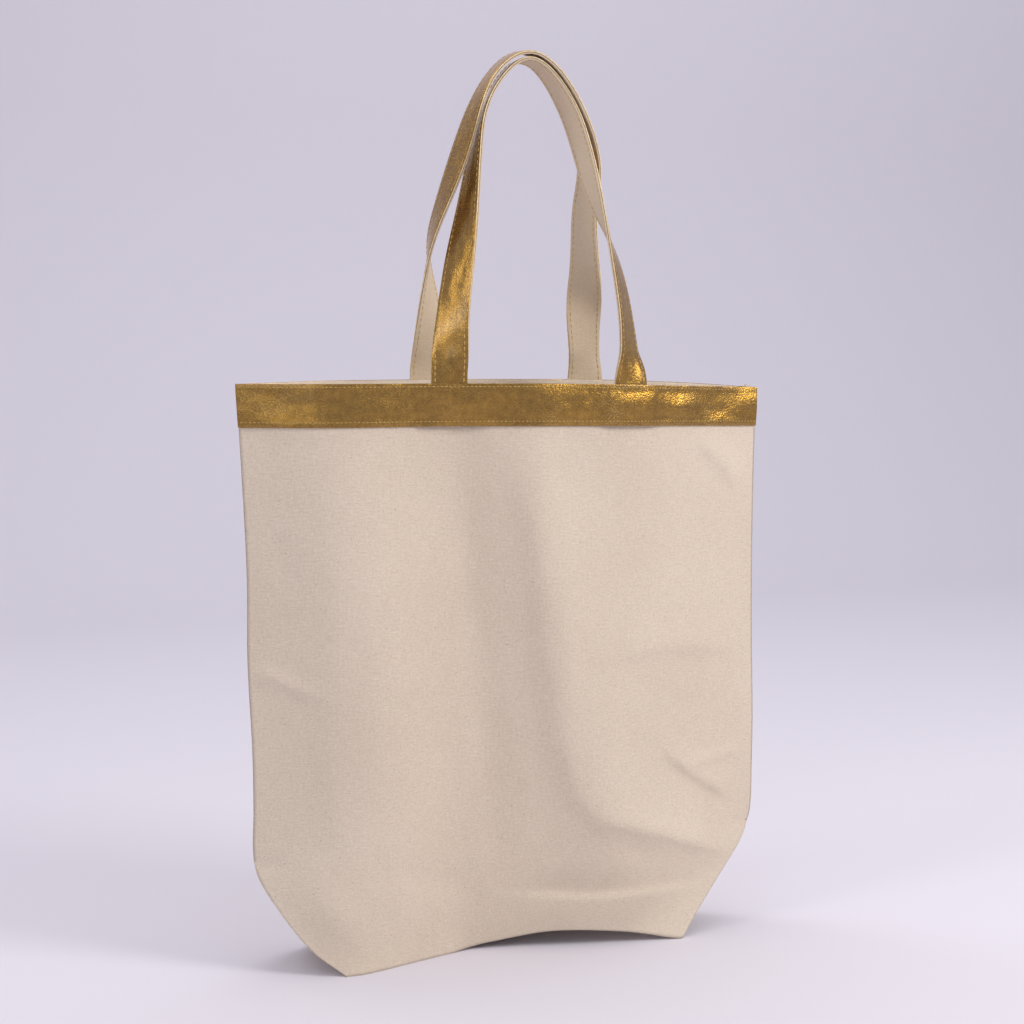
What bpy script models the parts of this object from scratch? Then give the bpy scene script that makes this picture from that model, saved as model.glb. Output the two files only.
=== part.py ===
"""Canvas tote bag with a leatherette mouth band and two twisted strap handles.

Metres, +Z up, front face towards -Y. The origin is on the floor under the middle of the bag.
Every soft piece starts as a flat grid that is laid on the bag's form, then thickened by Solidify.
"""

from math import cos, pi, radians, sin

import bmesh
import bpy
import numpy as np
from mathutils import Vector

# Driving dimensions of the bag body
RIM_HEIGHT = 0.394
RIM_HALF_WIDTH = 0.190
SHOULDER_HEIGHT = 0.072
SHOULDER_HALF_WIDTH = 0.184
BASE_HALF_LENGTH = 0.125
BASE_HALF_DEPTH = 0.0375
BASE_PANEL_DEPTH = 0.065
BASE_FOLD_FLAT = 0.0035
BASE_SEAM_SHARE = 0.96
BASE_SLACK = 0.004
BASE_ARCH = 0.002
TUCK_SAG = 0.004
LIFT_FADE_HEIGHT = 0.060
SEAM_ALLOWANCE = 0.009
CANVAS = 0.0010
GAP = 0.0003
HALF_GAP = GAP / 2
EDGE_BLEND = 0.22

# Mouth band, strap and thread
BAND_HEIGHT = 0.0285
BAND_RISE = 0.0008
BAND_THICKNESS = 0.0012
STRAP_WIDTH = 0.025
STRAP_FACE = 0.0010
STRAP_BACKING = 0.0009
STRAP_THICKNESS = STRAP_FACE + GAP + STRAP_BACKING
STRAP_END_RISE = 0.0100
STRAP_END_SHY = 0.0008
STRAP_TAIL_INSET = 0.004
STRAP_EASE = 0.009
STRAP_MARGIN = 0.004
THREAD_WIDTH = 0.0006
THREAD_THICKNESS = 0.0003
THREAD_CLEARANCE = 0.0013
STRAP_THREAD_GAP = 0.00045
STITCH_INSET_TOP = 0.0025
STITCH_INSET_BOTTOM = 0.0030
STITCH_INSET_STRAP = 0.0025

# How finely each piece is divided
PANEL_COLUMNS = 32
PANEL_ROWS = 18
BAND_COLUMNS = 64
STRAP_STEPS = 56

# Depth of each panel in front of the seam plane, as (height, (place across, depth) ...).
# Place across runs from -1 at the left edge to +1 at the right edge of that height.
FRONT_FORM = (
    (0.000, ((-1, 0.0375), (-0.88, 0.0365), (-0.28, 0.0125), (-0.12, 0.0132), (0.4, 0.0290), (1, 0.0375))),
    (0.040, ((-1, 0.0167), (-0.76, 0.0345), (-0.24, 0.0135), (-0.08, 0.0160), (0.55, 0.0345), (1, 0.0167))),
    (0.090, ((-1, 0.0), (-0.63, 0.0325), (-0.24, 0.0140), (0.02, 0.0240), (0.36, 0.0385), (1, 0.0))),
    (0.200, ((-1, 0.0), (-0.61, 0.0310), (-0.26, 0.0180), (-0.02, 0.0280), (0.17, 0.0390), (1, 0.0))),
    (0.300, ((-1, 0.0), (-0.65, 0.0300), (-0.28, 0.0200), (-0.10, 0.0290), (0.08, 0.0385), (1, 0.0))),
    (0.394, (
        (-1, 0.0), (-0.70, 0.0235), (-0.26, 0.0250), (-0.05, 0.0330),
        (0.12, 0.0355), (0.42, 0.0315), (1, 0.0),
    )),
)
BACK_FORM = (
    (0.000, ((-1, 0.0375), (-0.86, 0.0360), (-0.20, 0.0290), (0.10, 0.0270), (0.7, 0.0350), (1, 0.0375))),
    (0.040, ((-1, 0.0167), (-0.74, 0.0340), (-0.20, 0.0300), (0.10, 0.0290), (0.66, 0.0345), (1, 0.0167))),
    (0.090, ((-1, 0.0), (-0.62, 0.0320), (-0.20, 0.0330), (0.12, 0.0310), (0.56, 0.0330), (1, 0.0))),
    (0.200, ((-1, 0.0), (-0.62, 0.0280), (-0.22, 0.0340), (0.14, 0.0330), (0.52, 0.0300), (1, 0.0))),
    (0.394, ((-1, 0.0), (-0.62, 0.0230), (-0.26, 0.0265), (0.06, 0.0315), (0.38, 0.0310), (1, 0.0))),
)
# How far the bottom fold of each panel is lifted off the floor, along x
FRONT_LIFT = (
    (-0.125, 0), (-0.045, 0), (-0.015, 0.0045), (0.030, 0.0115),
    (0.080, 0.0085), (0.118, 0.001), (0.125, 0),
)
BACK_LIFT = ((-0.125, 0), (-0.070, 0), (-0.020, 0.0030), (0.030, 0.0035), (0.075, 0), (0.125, 0))

# Handle routes from the left end over the crown to the right end: x, y, z and twist in degrees
FRONT_ROUTE = (
    (-0.0490, -0.0265, 0.394, 94),
    (-0.0455, -0.0215, 0.432, 48),
    (-0.0385, -0.0150, 0.474, 34),
    (-0.0305, -0.0090, 0.514, 17),
    (-0.0230, -0.0035, 0.555, 1),
    (-0.0118, -0.0005, 0.591, -8),
    (0.0150, 0.0005, 0.6167, 1),
    (0.0432, 0.0010, 0.5905, -7),
    (0.0560, -0.0025, 0.5555, -8),
    (0.0630, -0.0120, 0.521, 2),
    (0.0740, -0.0185, 0.481, 31),
    (0.0800, -0.0260, 0.436, 43),
    (0.0805, -0.0330, 0.394, 60),
)
BACK_ROUTE = (
    (-0.0495, 0.0280, 0.394, -93),
    (-0.0485, 0.0215, 0.439, -60),
    (-0.0512, 0.0140, 0.4825, -15),
    (-0.0438, 0.0075, 0.517, 5),
    (-0.0297, 0.0025, 0.559, 12),
    (-0.0130, -0.0005, 0.6020, 1),
    (0.0170, -0.0010, 0.6215, 7),
    (0.0460, -0.0005, 0.595, -2),
    (0.0630, 0.0035, 0.5505, -15),
    (0.0640, 0.0135, 0.5155, -21),
    (0.0665, 0.0195, 0.473, -38),
    (0.0680, 0.0265, 0.4395, -89),
    (0.0720, 0.0325, 0.394, -107),
)

FINISHES = {
    "canvas": ((0.62, 0.52, 0.44, 1), 0.95, 0.0),
    "gold_leatherette": ((0.42, 0.27, 0.06, 1), 0.38, 0.85),
    "strap_canvas": ((0.50, 0.40, 0.31, 1), 0.95, 0.0),
    "gold_thread": ((0.70, 0.50, 0.18, 1), 0.55, 0.0),
    "ecru_thread": ((0.66, 0.58, 0.48, 1), 0.80, 0.0),
}


def ease(t):
    """Smooth step from 0 at 0 to 1 at 1."""
    return t * t * (3 - 2 * t)


def smooth_through(stations, at):
    """Cubic curve through (place, value) stations, with the slope of its neighbours at each."""
    places = [station[0] for station in stations]
    values = [station[1] for station in stations]
    last = len(places) - 1
    at = min(max(at, places[0]), places[last])
    left = max(i for i in range(last) if places[i] <= at)

    def slope(i):
        low, high = max(i - 1, 0), min(i + 1, last)
        return (values[high] - values[low]) / (places[high] - places[low])

    span = places[left + 1] - places[left]
    t = (at - places[left]) / span
    start = values[left] * (1 + 2 * t) * (1 - t) ** 2 + slope(left) * span * t * (1 - t) ** 2
    return start + values[left + 1] * t * t * (3 - 2 * t) + slope(left + 1) * span * t * t * (t - 1)


def edge_half_width(height):
    """Half the width of the bag's outline: the chamfer fold below the shoulder, the side seam above."""
    if height < SHOULDER_HEIGHT:
        return BASE_HALF_LENGTH + (SHOULDER_HALF_WIDTH - BASE_HALF_LENGTH) * height / SHOULDER_HEIGHT
    t = (height - SHOULDER_HEIGHT) / (RIM_HEIGHT - SHOULDER_HEIGHT)
    return SHOULDER_HALF_WIDTH + (RIM_HALF_WIDTH - SHOULDER_HALF_WIDTH) * t


class Panel:
    """The outer surface of one canvas panel: side is -1 for the front and +1 for the back."""

    def __init__(self, side, form, lift):
        self.side = side
        self.form = form
        self.lift = lift

    def depth(self, across, height):
        """Distance of the panel from the seam plane at a place across and a height."""
        inner = smooth_through([(level, smooth_through(row, across)) for level, row in self.form], height)
        formed_edge = smooth_through([(level, row[0][1]) for level, row in self.form], height)
        edge = max(0.0, BASE_HALF_DEPTH * (1 - height / SHOULDER_HEIGHT))
        return inner + (edge - formed_edge) * (1 - ease(min(1.0, (1 - abs(across)) / EDGE_BLEND)))

    def point(self, across, height, outward=0.0):
        """A point of the outer surface, moved outwards by a distance."""
        x = across * edge_half_width(height)
        y = self.side * max(self.depth(across, height), HALF_GAP)
        place = Vector((x, y, height))
        if outward:
            place += outward * self.normal(across, height)
        return place

    def normal(self, across, height):
        """Outward direction of the surface, level in plan."""
        step = 0.01
        low = max(-1.0, across - step)
        high = min(1.0, across + step)
        along = self.point(high, height) - self.point(low, height)
        return Vector((-along.y, along.x, 0)).normalized() * (self.side)

    def laid_point(self, across, height, outward):
        """A point lifted off the flat facet between two columns of the panel."""
        column = (across + 1) / 2 * PANEL_COLUMNS
        left = min(max(int(column), 0), PANEL_COLUMNS - 1)
        before = self.point(2 * left / PANEL_COLUMNS - 1, height, outward)
        after = self.point(2 * (left + 1) / PANEL_COLUMNS - 1, height, outward)
        return before.lerp(after, column - left)

    def across_at(self, x, height):
        """Place across of an x position at a height."""
        return x / edge_half_width(height)


FRONT = Panel(-1, FRONT_FORM, FRONT_LIFT)
BACK = Panel(1, BACK_FORM, BACK_LIFT)


def dressed(name, mesh, finish, collection):
    """Make an object of a mesh, with its finish, in the collection."""
    thing = bpy.data.objects.new(name, mesh)
    collection.objects.link(thing)
    colour, roughness, metallic = FINISHES[finish]
    material = bpy.data.materials.new(name + "_" + finish)
    material.use_nodes = True
    shader = material.node_tree.nodes["Principled BSDF"]
    shader.inputs["Base Color"].default_value = colour
    shader.inputs["Roughness"].default_value = roughness
    shader.inputs["Metallic"].default_value = metallic
    material.diffuse_color = colour
    mesh.materials.append(material)
    mesh.shade_smooth()
    mesh.set_sharp_from_angle(angle=radians(40))
    return thing


def thicken(thing, thickness, offset=-1.0):
    """Give an open sheet its thickness, inwards from its face unless told otherwise."""
    solid = thing.modifiers.new("thickness", "SOLIDIFY")
    solid.thickness = thickness
    solid.offset = offset
    solid.use_even_offset = False
    solid.use_rim = True


def laid_grid(columns, rows, place):
    """A grid of quads whose corner (i, j) lies at place(i, j)."""
    sheet = bmesh.new()
    bmesh.ops.create_grid(sheet, x_segments=columns, y_segments=rows, size=0.5)
    for vert in sheet.verts:
        i = round((vert.co.x + 0.5) * columns)
        j = round((vert.co.y + 0.5) * rows)
        vert.co = place(i, j)
    return sheet


def finish_sheet(sheet, name, face_point, outwards):
    """Turn a sheet's faces to one side and store it as a mesh."""
    bmesh.ops.recalc_face_normals(sheet, faces=sheet.faces)
    sheet.faces.ensure_lookup_table()
    nearest = min(sheet.faces, key=lambda face: (face.calc_center_median() - face_point).length)
    if nearest.normal.dot(outwards) < 0:
        bmesh.ops.reverse_faces(sheet, faces=sheet.faces)
    mesh = bpy.data.meshes.new(name)
    sheet.to_mesh(mesh)
    sheet.free()
    return mesh


def make_panel(name, panel, other, collection):
    """A canvas panel: face, bottom fold, half of the base, tucked corners and seam allowance."""
    side = panel.side
    shoulder_row = round(PANEL_ROWS * SHOULDER_HEIGHT / RIM_HEIGHT)
    heights = [SHOULDER_HEIGHT * j / shoulder_row for j in range(PANEL_ROWS + 1)]
    for j in range(shoulder_row, PANEL_ROWS + 1):
        share = (j - shoulder_row) / (PANEL_ROWS - shoulder_row)
        heights[j] = SHOULDER_HEIGHT + (RIM_HEIGHT - SHOULDER_HEIGHT) * share

    def across(i):
        return 2 * i / PANEL_COLUMNS - 1

    def face(i, j):
        point = panel.point(across(i), heights[j])
        lift = max(0.0, smooth_through(panel.lift, across(i) * BASE_HALF_LENGTH))
        point.z += lift * max(0.0, 1 - heights[j] / LIFT_FADE_HEIGHT) ** 2
        return point

    sheet = laid_grid(PANEL_COLUMNS, PANEL_ROWS, face)
    sheet.verts.ensure_lookup_table()
    by_place = {}
    for vert in sheet.verts:
        by_place[tuple(round(c, 6) for c in vert.co)] = vert

    def vert_at(i, j):
        return by_place[tuple(round(c, 6) for c in Vector(face(i, j)))]

    bottom = [vert_at(i, 0) for i in range(PANEL_COLUMNS + 1)]
    flat = [sheet.verts.new(vert.co - Vector((0, side * BASE_FOLD_FLAT, 0))) for vert in bottom]
    seam = []
    for i, vert in enumerate(bottom):
        mean_depth = (panel.depth(across(i), 0) + other.depth(across(i), 0)) / 2 - BASE_FOLD_FLAT
        rise = (BASE_PANEL_DEPTH ** 2 - max(mean_depth, 0) ** 2) ** 0.5 - BASE_SLACK
        seam.append(sheet.verts.new((vert.co.x * BASE_SEAM_SHARE, side * HALF_GAP, rise)))
    half = [
        sheet.verts.new(flat[i].co.lerp(seam[i].co, 0.5) + Vector((0, 0, BASE_ARCH)))
        for i in range(PANEL_COLUMNS + 1)
    ]
    for low, high in ((bottom, flat), (flat, half), (half, seam)):
        for i in range(PANEL_COLUMNS):
            sheet.faces.new((low[i], low[i + 1], high[i + 1], high[i]))
    for end in (0, PANEL_COLUMNS):
        fold = [vert_at(end, j) for j in range(shoulder_row + 1)]
        tuck = [seam[end]]
        for j in range(1, shoulder_row):
            t = j / shoulder_row
            spot = seam[end].co.lerp(fold[-1].co, t)
            spot.z -= TUCK_SAG * sin(pi * t)
            tuck.append(sheet.verts.new(spot))
        middle = []
        for j in range(shoulder_row):
            if j:
                middle.append(sheet.verts.new(fold[j].co.lerp(tuck[j].co, 0.5) + Vector((0, 0, BASE_ARCH))))
            else:
                middle.append(half[end])
        sheet.faces.new((fold[0], flat[end], half[end], middle[1], fold[1]))
        sheet.faces.new((half[end], seam[end], tuck[1], middle[1]))
        for j in range(1, shoulder_row - 1):
            sheet.faces.new((fold[j], middle[j], middle[j + 1], fold[j + 1]))
            sheet.faces.new((middle[j], tuck[j], tuck[j + 1], middle[j + 1]))
        sheet.faces.new((fold[-2], middle[-1], fold[-1]))
        sheet.faces.new((middle[-1], tuck[-1], fold[-1]))
        if end == 0:
            left_edge = tuck[::-1][:-1]
        else:
            right_edge = tuck[1:]
    left_side = [vert_at(0, j) for j in range(PANEL_ROWS, shoulder_row - 1, -1)]
    right_side = [vert_at(PANEL_COLUMNS, j) for j in range(shoulder_row, PANEL_ROWS + 1)]
    outline = left_side + left_edge + seam + right_edge + right_side
    seam_line = [vert.co.copy() for vert in outline]
    allowance = []
    for vert, inward in zip(outline, inward_directions(seam_line)):
        allowance.append(sheet.verts.new(vert.co + SEAM_ALLOWANCE * inward))
        allowance[-1].co.y = side * HALF_GAP
    allowance[0].co.z = allowance[-1].co.z = RIM_HEIGHT
    for k in range(len(outline) - 1):
        sheet.faces.new((outline[k], outline[k + 1], allowance[k + 1], allowance[k]))
    mesh = finish_sheet(sheet, name, panel.point(0.0, 0.25), Vector((0, side, 0)))
    thing = dressed(name, mesh, "canvas", collection)
    thicken(thing, CANVAS)
    return seam_line


def inward_directions(line):
    """Directions from a seam line into the bag, in the seam's plane, at each of its points."""
    found = []
    for k in range(len(line)):
        before, after = line[max(k - 1, 0)], line[min(k + 1, len(line) - 1)]
        along = Vector((after.x - before.x, 0, after.z - before.z)).normalized()
        found.append(Vector((-along.z, 0, along.x)))
    return found


def strap_ease(x, ends):
    """How much of a strap end's thickness the band has to clear at x: 1 over the strap, 0 away from it."""
    share = 0.0
    for middle in ends:
        away = (abs(x - middle) - STRAP_WIDTH / 2 - STRAP_MARGIN) / STRAP_EASE
        share = max(share, ease(min(max(1 - away, 0.0), 1.0)))
    return share


def band_base(panel, ends, across):
    """Distance of the band's inner face from the canvas."""
    x = across * RIM_HALF_WIDTH
    return GAP + (STRAP_THICKNESS + GAP) * strap_ease(x, ends)


def make_strip(name, panel, ends, finish, low, high, lift, thickness, collection):
    """A strip round one panel's mouth between two heights, lifted off the band's inner face."""
    place = {0: low, 1: high}

    def corner(i, j):
        across = 2 * i / BAND_COLUMNS - 1
        outward = band_base(panel, ends, across) + lift
        point = panel.laid_point(across, min(place[j], RIM_HEIGHT), outward)
        point.z = place[j]
        if abs(point.y) < HALF_GAP or point.y * panel.side < 0:
            point.y = panel.side * HALF_GAP
        return point

    sheet = laid_grid(BAND_COLUMNS, 1, corner)
    mesh = finish_sheet(sheet, name, panel.point(0.0, RIM_HEIGHT), Vector((0, panel.side, 0)))
    thing = dressed(name, mesh, finish, collection)
    thicken(thing, thickness, 1.0)
    return thing


def natural_curve(stations, steps):
    """Points of the smoothest cubic curve through evenly spaced stations, and its directions."""
    values = np.array(stations, dtype=float)
    count = len(values)
    matrix = np.eye(count)
    right = np.zeros_like(values)
    for k in range(1, count - 1):
        matrix[k, k - 1 : k + 2] = (1, 4, 1)
        right[k] = 6 * (values[k - 1] - 2 * values[k] + values[k + 1])
    bend = np.linalg.solve(matrix, right)
    points, slopes = [], []
    for step in range(steps + 1):
        at = (count - 1) * step / steps
        k = min(int(at), count - 2)
        t = at - k
        s = 1 - t
        a, b = values[k], values[k + 1]
        points.append(s * a + t * b + ((s ** 3 - s) * bend[k] + (t ** 3 - t) * bend[k + 1]) / 6)
        slopes.append(b - a + ((1 - 3 * s * s) * bend[k] + (3 * t * t - 1) * bend[k + 1]) / 6)
    return np.array(points), np.array(slopes)


class Handle:
    """A strap handle: its route, and the directions across and out of the strap along it."""

    def __init__(self, side, route):
        self.side = side
        stations = [(x, y, z, radians(twist)) for x, y, z, twist in route]
        points, slopes = natural_curve(stations, STRAP_STEPS)
        keep = [k for k in range(len(points)) if points[k][2] > RIM_HEIGHT + STRAP_END_RISE + GAP + 0.002]
        self.frames = []
        start = RIM_HEIGHT + STRAP_END_RISE + GAP
        rows = [self.cut_at(points, slopes, start, keep[0] - 1)]
        rows += [(points[k], slopes[k]) for k in keep]
        rows += [self.cut_at(points, slopes, start, keep[-1])]
        for point, slope in rows:
            along = Vector(slope[:3]).normalized()
            if point[2] < start + 0.0001:
                along = Vector((0, 0, 1 if along.z > 0 else -1))
            level = Vector((0, 1, 0))
            level = (level - along * along.y).normalized()
            out = along.cross(level)
            twist = point[3]
            across = cos(twist) * level + sin(twist) * out
            face = cos(twist) * out - sin(twist) * level
            self.frames.append((Vector(point[:3]), across, face))
        self.ends = (self.frames[0][0].x, self.frames[-1][0].x)

    @staticmethod
    def cut_at(points, slopes, height, k):
        """The route where it crosses a height between two of its steps."""
        a, b = points[k], points[k + 1]
        t = (height - a[2]) / (b[2] - a[2])
        return a + t * (b - a), slopes[k] + t * (slopes[k + 1] - slopes[k])


def make_ribbon(name, handle, finish, near, far, lift, thickness, collection):
    """A ribbon along a handle between two places across it, lifted out from its middle."""

    def corner(i, j):
        centre, across, face = handle.frames[i]
        place = far if j else near
        return centre + across * place + face * lift

    sheet = laid_grid(len(handle.frames) - 1, 1, corner)
    centre, _, face = handle.frames[len(handle.frames) // 2]
    mesh = finish_sheet(sheet, name, centre, face)
    thing = dressed(name, mesh, finish, collection)
    thicken(thing, thickness, 1.0)
    return thing


def make_strap_end(name, panel, handle, left, collection):
    """The sewn-in end of a strap: behind the band, and standing just clear of the mouth."""
    frame = handle.frames[0] if left else handle.frames[-1]
    centre, across, face = frame
    half = STRAP_WIDTH / 2
    along_x = across if across.x > 0 else -across
    bottom = RIM_HEIGHT - BAND_HEIGHT + STRAP_TAIL_INSET
    top = RIM_HEIGHT + STRAP_END_RISE - STRAP_END_SHY
    columns, rows = 6, 8

    def corner(i, j):
        s = 2 * i / columns - 1
        top_point = centre + along_x * (s * half) - face * (STRAP_THICKNESS / 2)
        height = bottom + (top - bottom) * j / rows
        x = centre.x + s * half
        sewn_height = min(height, RIM_HEIGHT)
        sewn = panel.laid_point(panel.across_at(x, sewn_height), sewn_height, GAP)
        clear = RIM_HEIGHT + BAND_RISE + GAP
        blend = ease(min(max((height - clear) / (top - clear), 0.0), 1.0))
        return Vector((
            sewn.x + (top_point.x - sewn.x) * blend,
            sewn.y + (top_point.y - sewn.y) * blend,
            height,
        ))

    sheet = laid_grid(columns, rows, corner)
    mesh = finish_sheet(sheet, name, centre, face)
    thing = dressed(name, mesh, "gold_leatherette", collection)
    thicken(thing, STRAP_THICKNESS, 1.0)
    return thing


def make_seam_cord(name, seam_line, collection):
    """The thread of the seam that joins the panels, as a thin cord along the seam's outer side."""
    points = []
    for spot, inward in zip(seam_line, inward_directions(seam_line)):
        if spot.z < RIM_HEIGHT - BAND_HEIGHT - THREAD_CLEARANCE:
            points.append((spot.x - THREAD_CLEARANCE * inward.x, 0, spot.z - THREAD_CLEARANCE * inward.z))
    curve = bpy.data.curves.new(name, "CURVE")
    curve.dimensions = "3D"
    curve.bevel_depth = THREAD_THICKNESS
    curve.bevel_resolution = 1
    curve.use_fill_caps = True
    line = curve.splines.new("POLY")
    line.points.add(len(points) - 1)
    for spot, point in zip(line.points, points):
        spot.co = (*point, 1)
    thing = bpy.data.objects.new(name, curve)
    collection.objects.link(thing)
    material = bpy.data.materials.new(name)
    material.use_nodes = True
    shader = material.node_tree.nodes["Principled BSDF"]
    shader.inputs["Base Color"].default_value = FINISHES["ecru_thread"][0]
    shader.inputs["Roughness"].default_value = FINISHES["ecru_thread"][1]
    curve.materials.append(material)


def main():
    """Clear the scene and build the bag."""
    for thing in list(bpy.data.objects):
        bpy.data.objects.remove(thing)
    collection = bpy.data.collections.new("canvas_tote_bag")
    bpy.context.scene.collection.children.link(collection)

    seam_line = make_panel("front_panel", FRONT, BACK, collection)
    make_seam_cord("body_seam_thread", seam_line, collection)
    make_panel("back_panel", BACK, FRONT, collection)
    handles = {"front": Handle(-1, FRONT_ROUTE), "back": Handle(1, BACK_ROUTE)}
    band_top = RIM_HEIGHT + BAND_RISE
    band_bottom = band_top - BAND_HEIGHT
    on_band = BAND_THICKNESS + GAP
    for word, panel in (("front", FRONT), ("back", BACK)):
        handle = handles[word]
        make_strip(
            word + "_band", panel, handle.ends, "gold_leatherette",
            band_bottom, band_top, 0.0, BAND_THICKNESS, collection,
        )
        for row, height in (
            ("top", band_top - STITCH_INSET_TOP),
            ("bottom", band_bottom + STITCH_INSET_BOTTOM),
        ):
            make_strip(
                word + "_band_" + row + "_stitching", panel, handle.ends, "gold_thread",
                height - THREAD_WIDTH / 2, height + THREAD_WIDTH / 2, on_band, THREAD_THICKNESS, collection,
            )
        half = STRAP_WIDTH / 2
        middle = -STRAP_THICKNESS / 2
        make_ribbon(
            word + "_strap_backing", handle, "strap_canvas", -half, half, middle, STRAP_BACKING, collection
        )
        make_ribbon(
            word + "_strap_face", handle, "gold_leatherette", -half, half,
            middle + STRAP_BACKING + GAP, STRAP_FACE, collection,
        )
        for row, place in (("near", -half + STITCH_INSET_STRAP), ("far", half - STITCH_INSET_STRAP)):
            make_ribbon(
                word + "_strap_" + row + "_stitching", handle, "gold_thread",
                place - THREAD_WIDTH / 2, place + THREAD_WIDTH / 2,
                STRAP_THICKNESS / 2 + STRAP_THREAD_GAP, THREAD_THICKNESS, collection,
            )
        make_strap_end(word + "_left_strap_end", panel, handle, True, collection)
        make_strap_end(word + "_right_strap_end", panel, handle, False, collection)


main()
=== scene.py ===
"""Canvas tote bag with a gold leatherette mouth band and two strap handles, dressed over its frame."""

import logging
import math
from dataclasses import dataclass, field
from enum import Enum
from typing import Sequence

import bmesh
import bpy
import numpy as np
from mathutils import Matrix, Vector, noise


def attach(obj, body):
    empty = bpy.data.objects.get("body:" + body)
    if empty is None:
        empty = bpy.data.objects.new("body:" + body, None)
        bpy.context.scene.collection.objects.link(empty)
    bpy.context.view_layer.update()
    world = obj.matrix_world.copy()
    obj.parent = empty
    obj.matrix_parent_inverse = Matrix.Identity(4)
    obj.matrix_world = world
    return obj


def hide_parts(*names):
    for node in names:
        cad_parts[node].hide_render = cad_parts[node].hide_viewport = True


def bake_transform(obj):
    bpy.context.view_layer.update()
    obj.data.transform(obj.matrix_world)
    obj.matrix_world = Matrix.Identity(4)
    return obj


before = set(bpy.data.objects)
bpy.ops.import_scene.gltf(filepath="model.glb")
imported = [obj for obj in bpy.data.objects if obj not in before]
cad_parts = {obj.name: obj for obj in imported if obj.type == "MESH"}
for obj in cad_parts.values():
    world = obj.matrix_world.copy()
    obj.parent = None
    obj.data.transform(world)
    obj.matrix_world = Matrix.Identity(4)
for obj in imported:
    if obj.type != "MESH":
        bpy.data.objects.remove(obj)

LOG = logging.getLogger("tote")
Array = np.ndarray
Colour = tuple[float, float, float]
Socket = bpy.types.NodeSocket

WELD_DISTANCE = 2e-5
SHARP_ANGLE = math.radians(50)


class Side(Enum):
    """The two panels of the bag: the sign is the way each faces along Y."""

    FRONT = -1
    BACK = 1

    @property
    def word(self) -> str:
        """The side's name in lower case, as the frame's nodes use it."""
        return self.name.lower()


class Body(str, Enum):
    """Bodies of the frame that pieces ride on."""

    BAG = "bag"
    FRONT_HANDLE = "front_handle"
    BACK_HANDLE = "back_handle"


class Slot(str, Enum):
    """Material slots of the record."""

    CANVAS = "canvas"
    STRAP_CANVAS = "strap_canvas"
    LEATHERETTE = "gold_leatherette"
    GOLD_THREAD = "gold_thread"
    ECRU_THREAD = "ecru_thread"


# ---------------------------------------------------------------- shared sizes


@dataclass(frozen=True)
class Sizes:
    """Driving sizes of the bag, in metres."""

    rim_height: float = 0.394
    rim_half_width: float = 0.190
    shoulder_height: float = 0.072
    base_half_length: float = 0.125
    base_half_depth: float = 0.0375
    base_panel_depth: float = 0.065
    base_fold_flat: float = 0.0035
    base_seam_share: float = 0.96
    base_slack: float = 0.004
    base_arch: float = 0.002
    tuck_sag: float = 0.004
    lift_fade_height: float = 0.060
    seam_allowance: float = 0.009
    canvas: float = 0.0010
    gap: float = 0.0003
    edge_blend: float = 0.22
    band_height: float = 0.0285
    band_rise: float = 0.0008
    band_thickness: float = 0.0012
    strap_width: float = 0.025
    strap_face: float = 0.0010
    strap_backing: float = 0.0009
    strap_end_rise: float = 0.0103
    strap_tail_inset: float = 0.004
    strap_ease: float = 0.013
    strap_margin: float = 0.003
    stitch_inset_top: float = 0.0022
    stitch_inset_bottom: float = 0.0033
    stitch_inset_strap: float = 0.0025

    @property
    def strap_thickness(self) -> float:
        """Whole thickness of a strap, gold face and canvas back together."""
        return self.strap_face + self.gap + self.strap_backing

    @property
    def band_top(self) -> float:
        """Height of the band's upper edge."""
        return self.rim_height + self.band_rise

    @property
    def band_bottom(self) -> float:
        """Height of the band's lower edge."""
        return self.band_top - self.band_height


SIZES = Sizes()


def ease(t: Array) -> Array:
    """Smooth step.

    Args:
        t: values from 0 to 1.

    Returns:
        The values eased in and out.
    """
    return t * t * (3 - 2 * t)


def between(places: Sequence[float], values: Array, at: Array) -> Array:
    """Cubic curve through stations, with the slope of its neighbours at each.

    Args:
        places: the stations' places, in rising order.
        values: one value for each station, or one column of them for each entry of `at`.
        at: where to read the curve.

    Returns:
        One value for each entry of `at`.
    """
    spots = np.asarray(places, float)
    values = np.asarray(values, float)
    if values.ndim == 1:
        values = np.repeat(values[:, None], len(at), axis=1)
    last = len(spots) - 1
    at = np.clip(at, spots[0], spots[-1])
    left = np.clip(np.searchsorted(spots, at, side="right") - 1, 0, last - 1)
    column = np.arange(len(at))

    def slope(i: Array) -> Array:
        """The curve's slope at stations.

        Args:
            i: the stations' indices.

        Returns:
            The slope of the line through each one's neighbours.
        """
        low, high = np.maximum(i - 1, 0), np.minimum(i + 1, last)
        return (values[high, column] - values[low, column]) / (spots[high] - spots[low])

    span = spots[left + 1] - spots[left]
    t = (at - spots[left]) / span
    start = values[left, column] * (1 + 2 * t) * (1 - t) ** 2 + slope(left) * span * t * (1 - t) ** 2
    return start + values[left + 1, column] * t * t * (3 - 2 * t) + slope(left + 1) * span * t * t * (t - 1)


Row = tuple[tuple[float, float], ...]


def read(row: Row, at: Array) -> Array:
    """Cubic curve through a row of stations.

    Args:
        row: each station's place and value.
        at: where to read the curve.

    Returns:
        One value for each entry of `at`.
    """
    return between([place for place, _ in row], np.array([value for _, value in row]), at)


# ---------------------------------------------------------------- node materials


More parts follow.
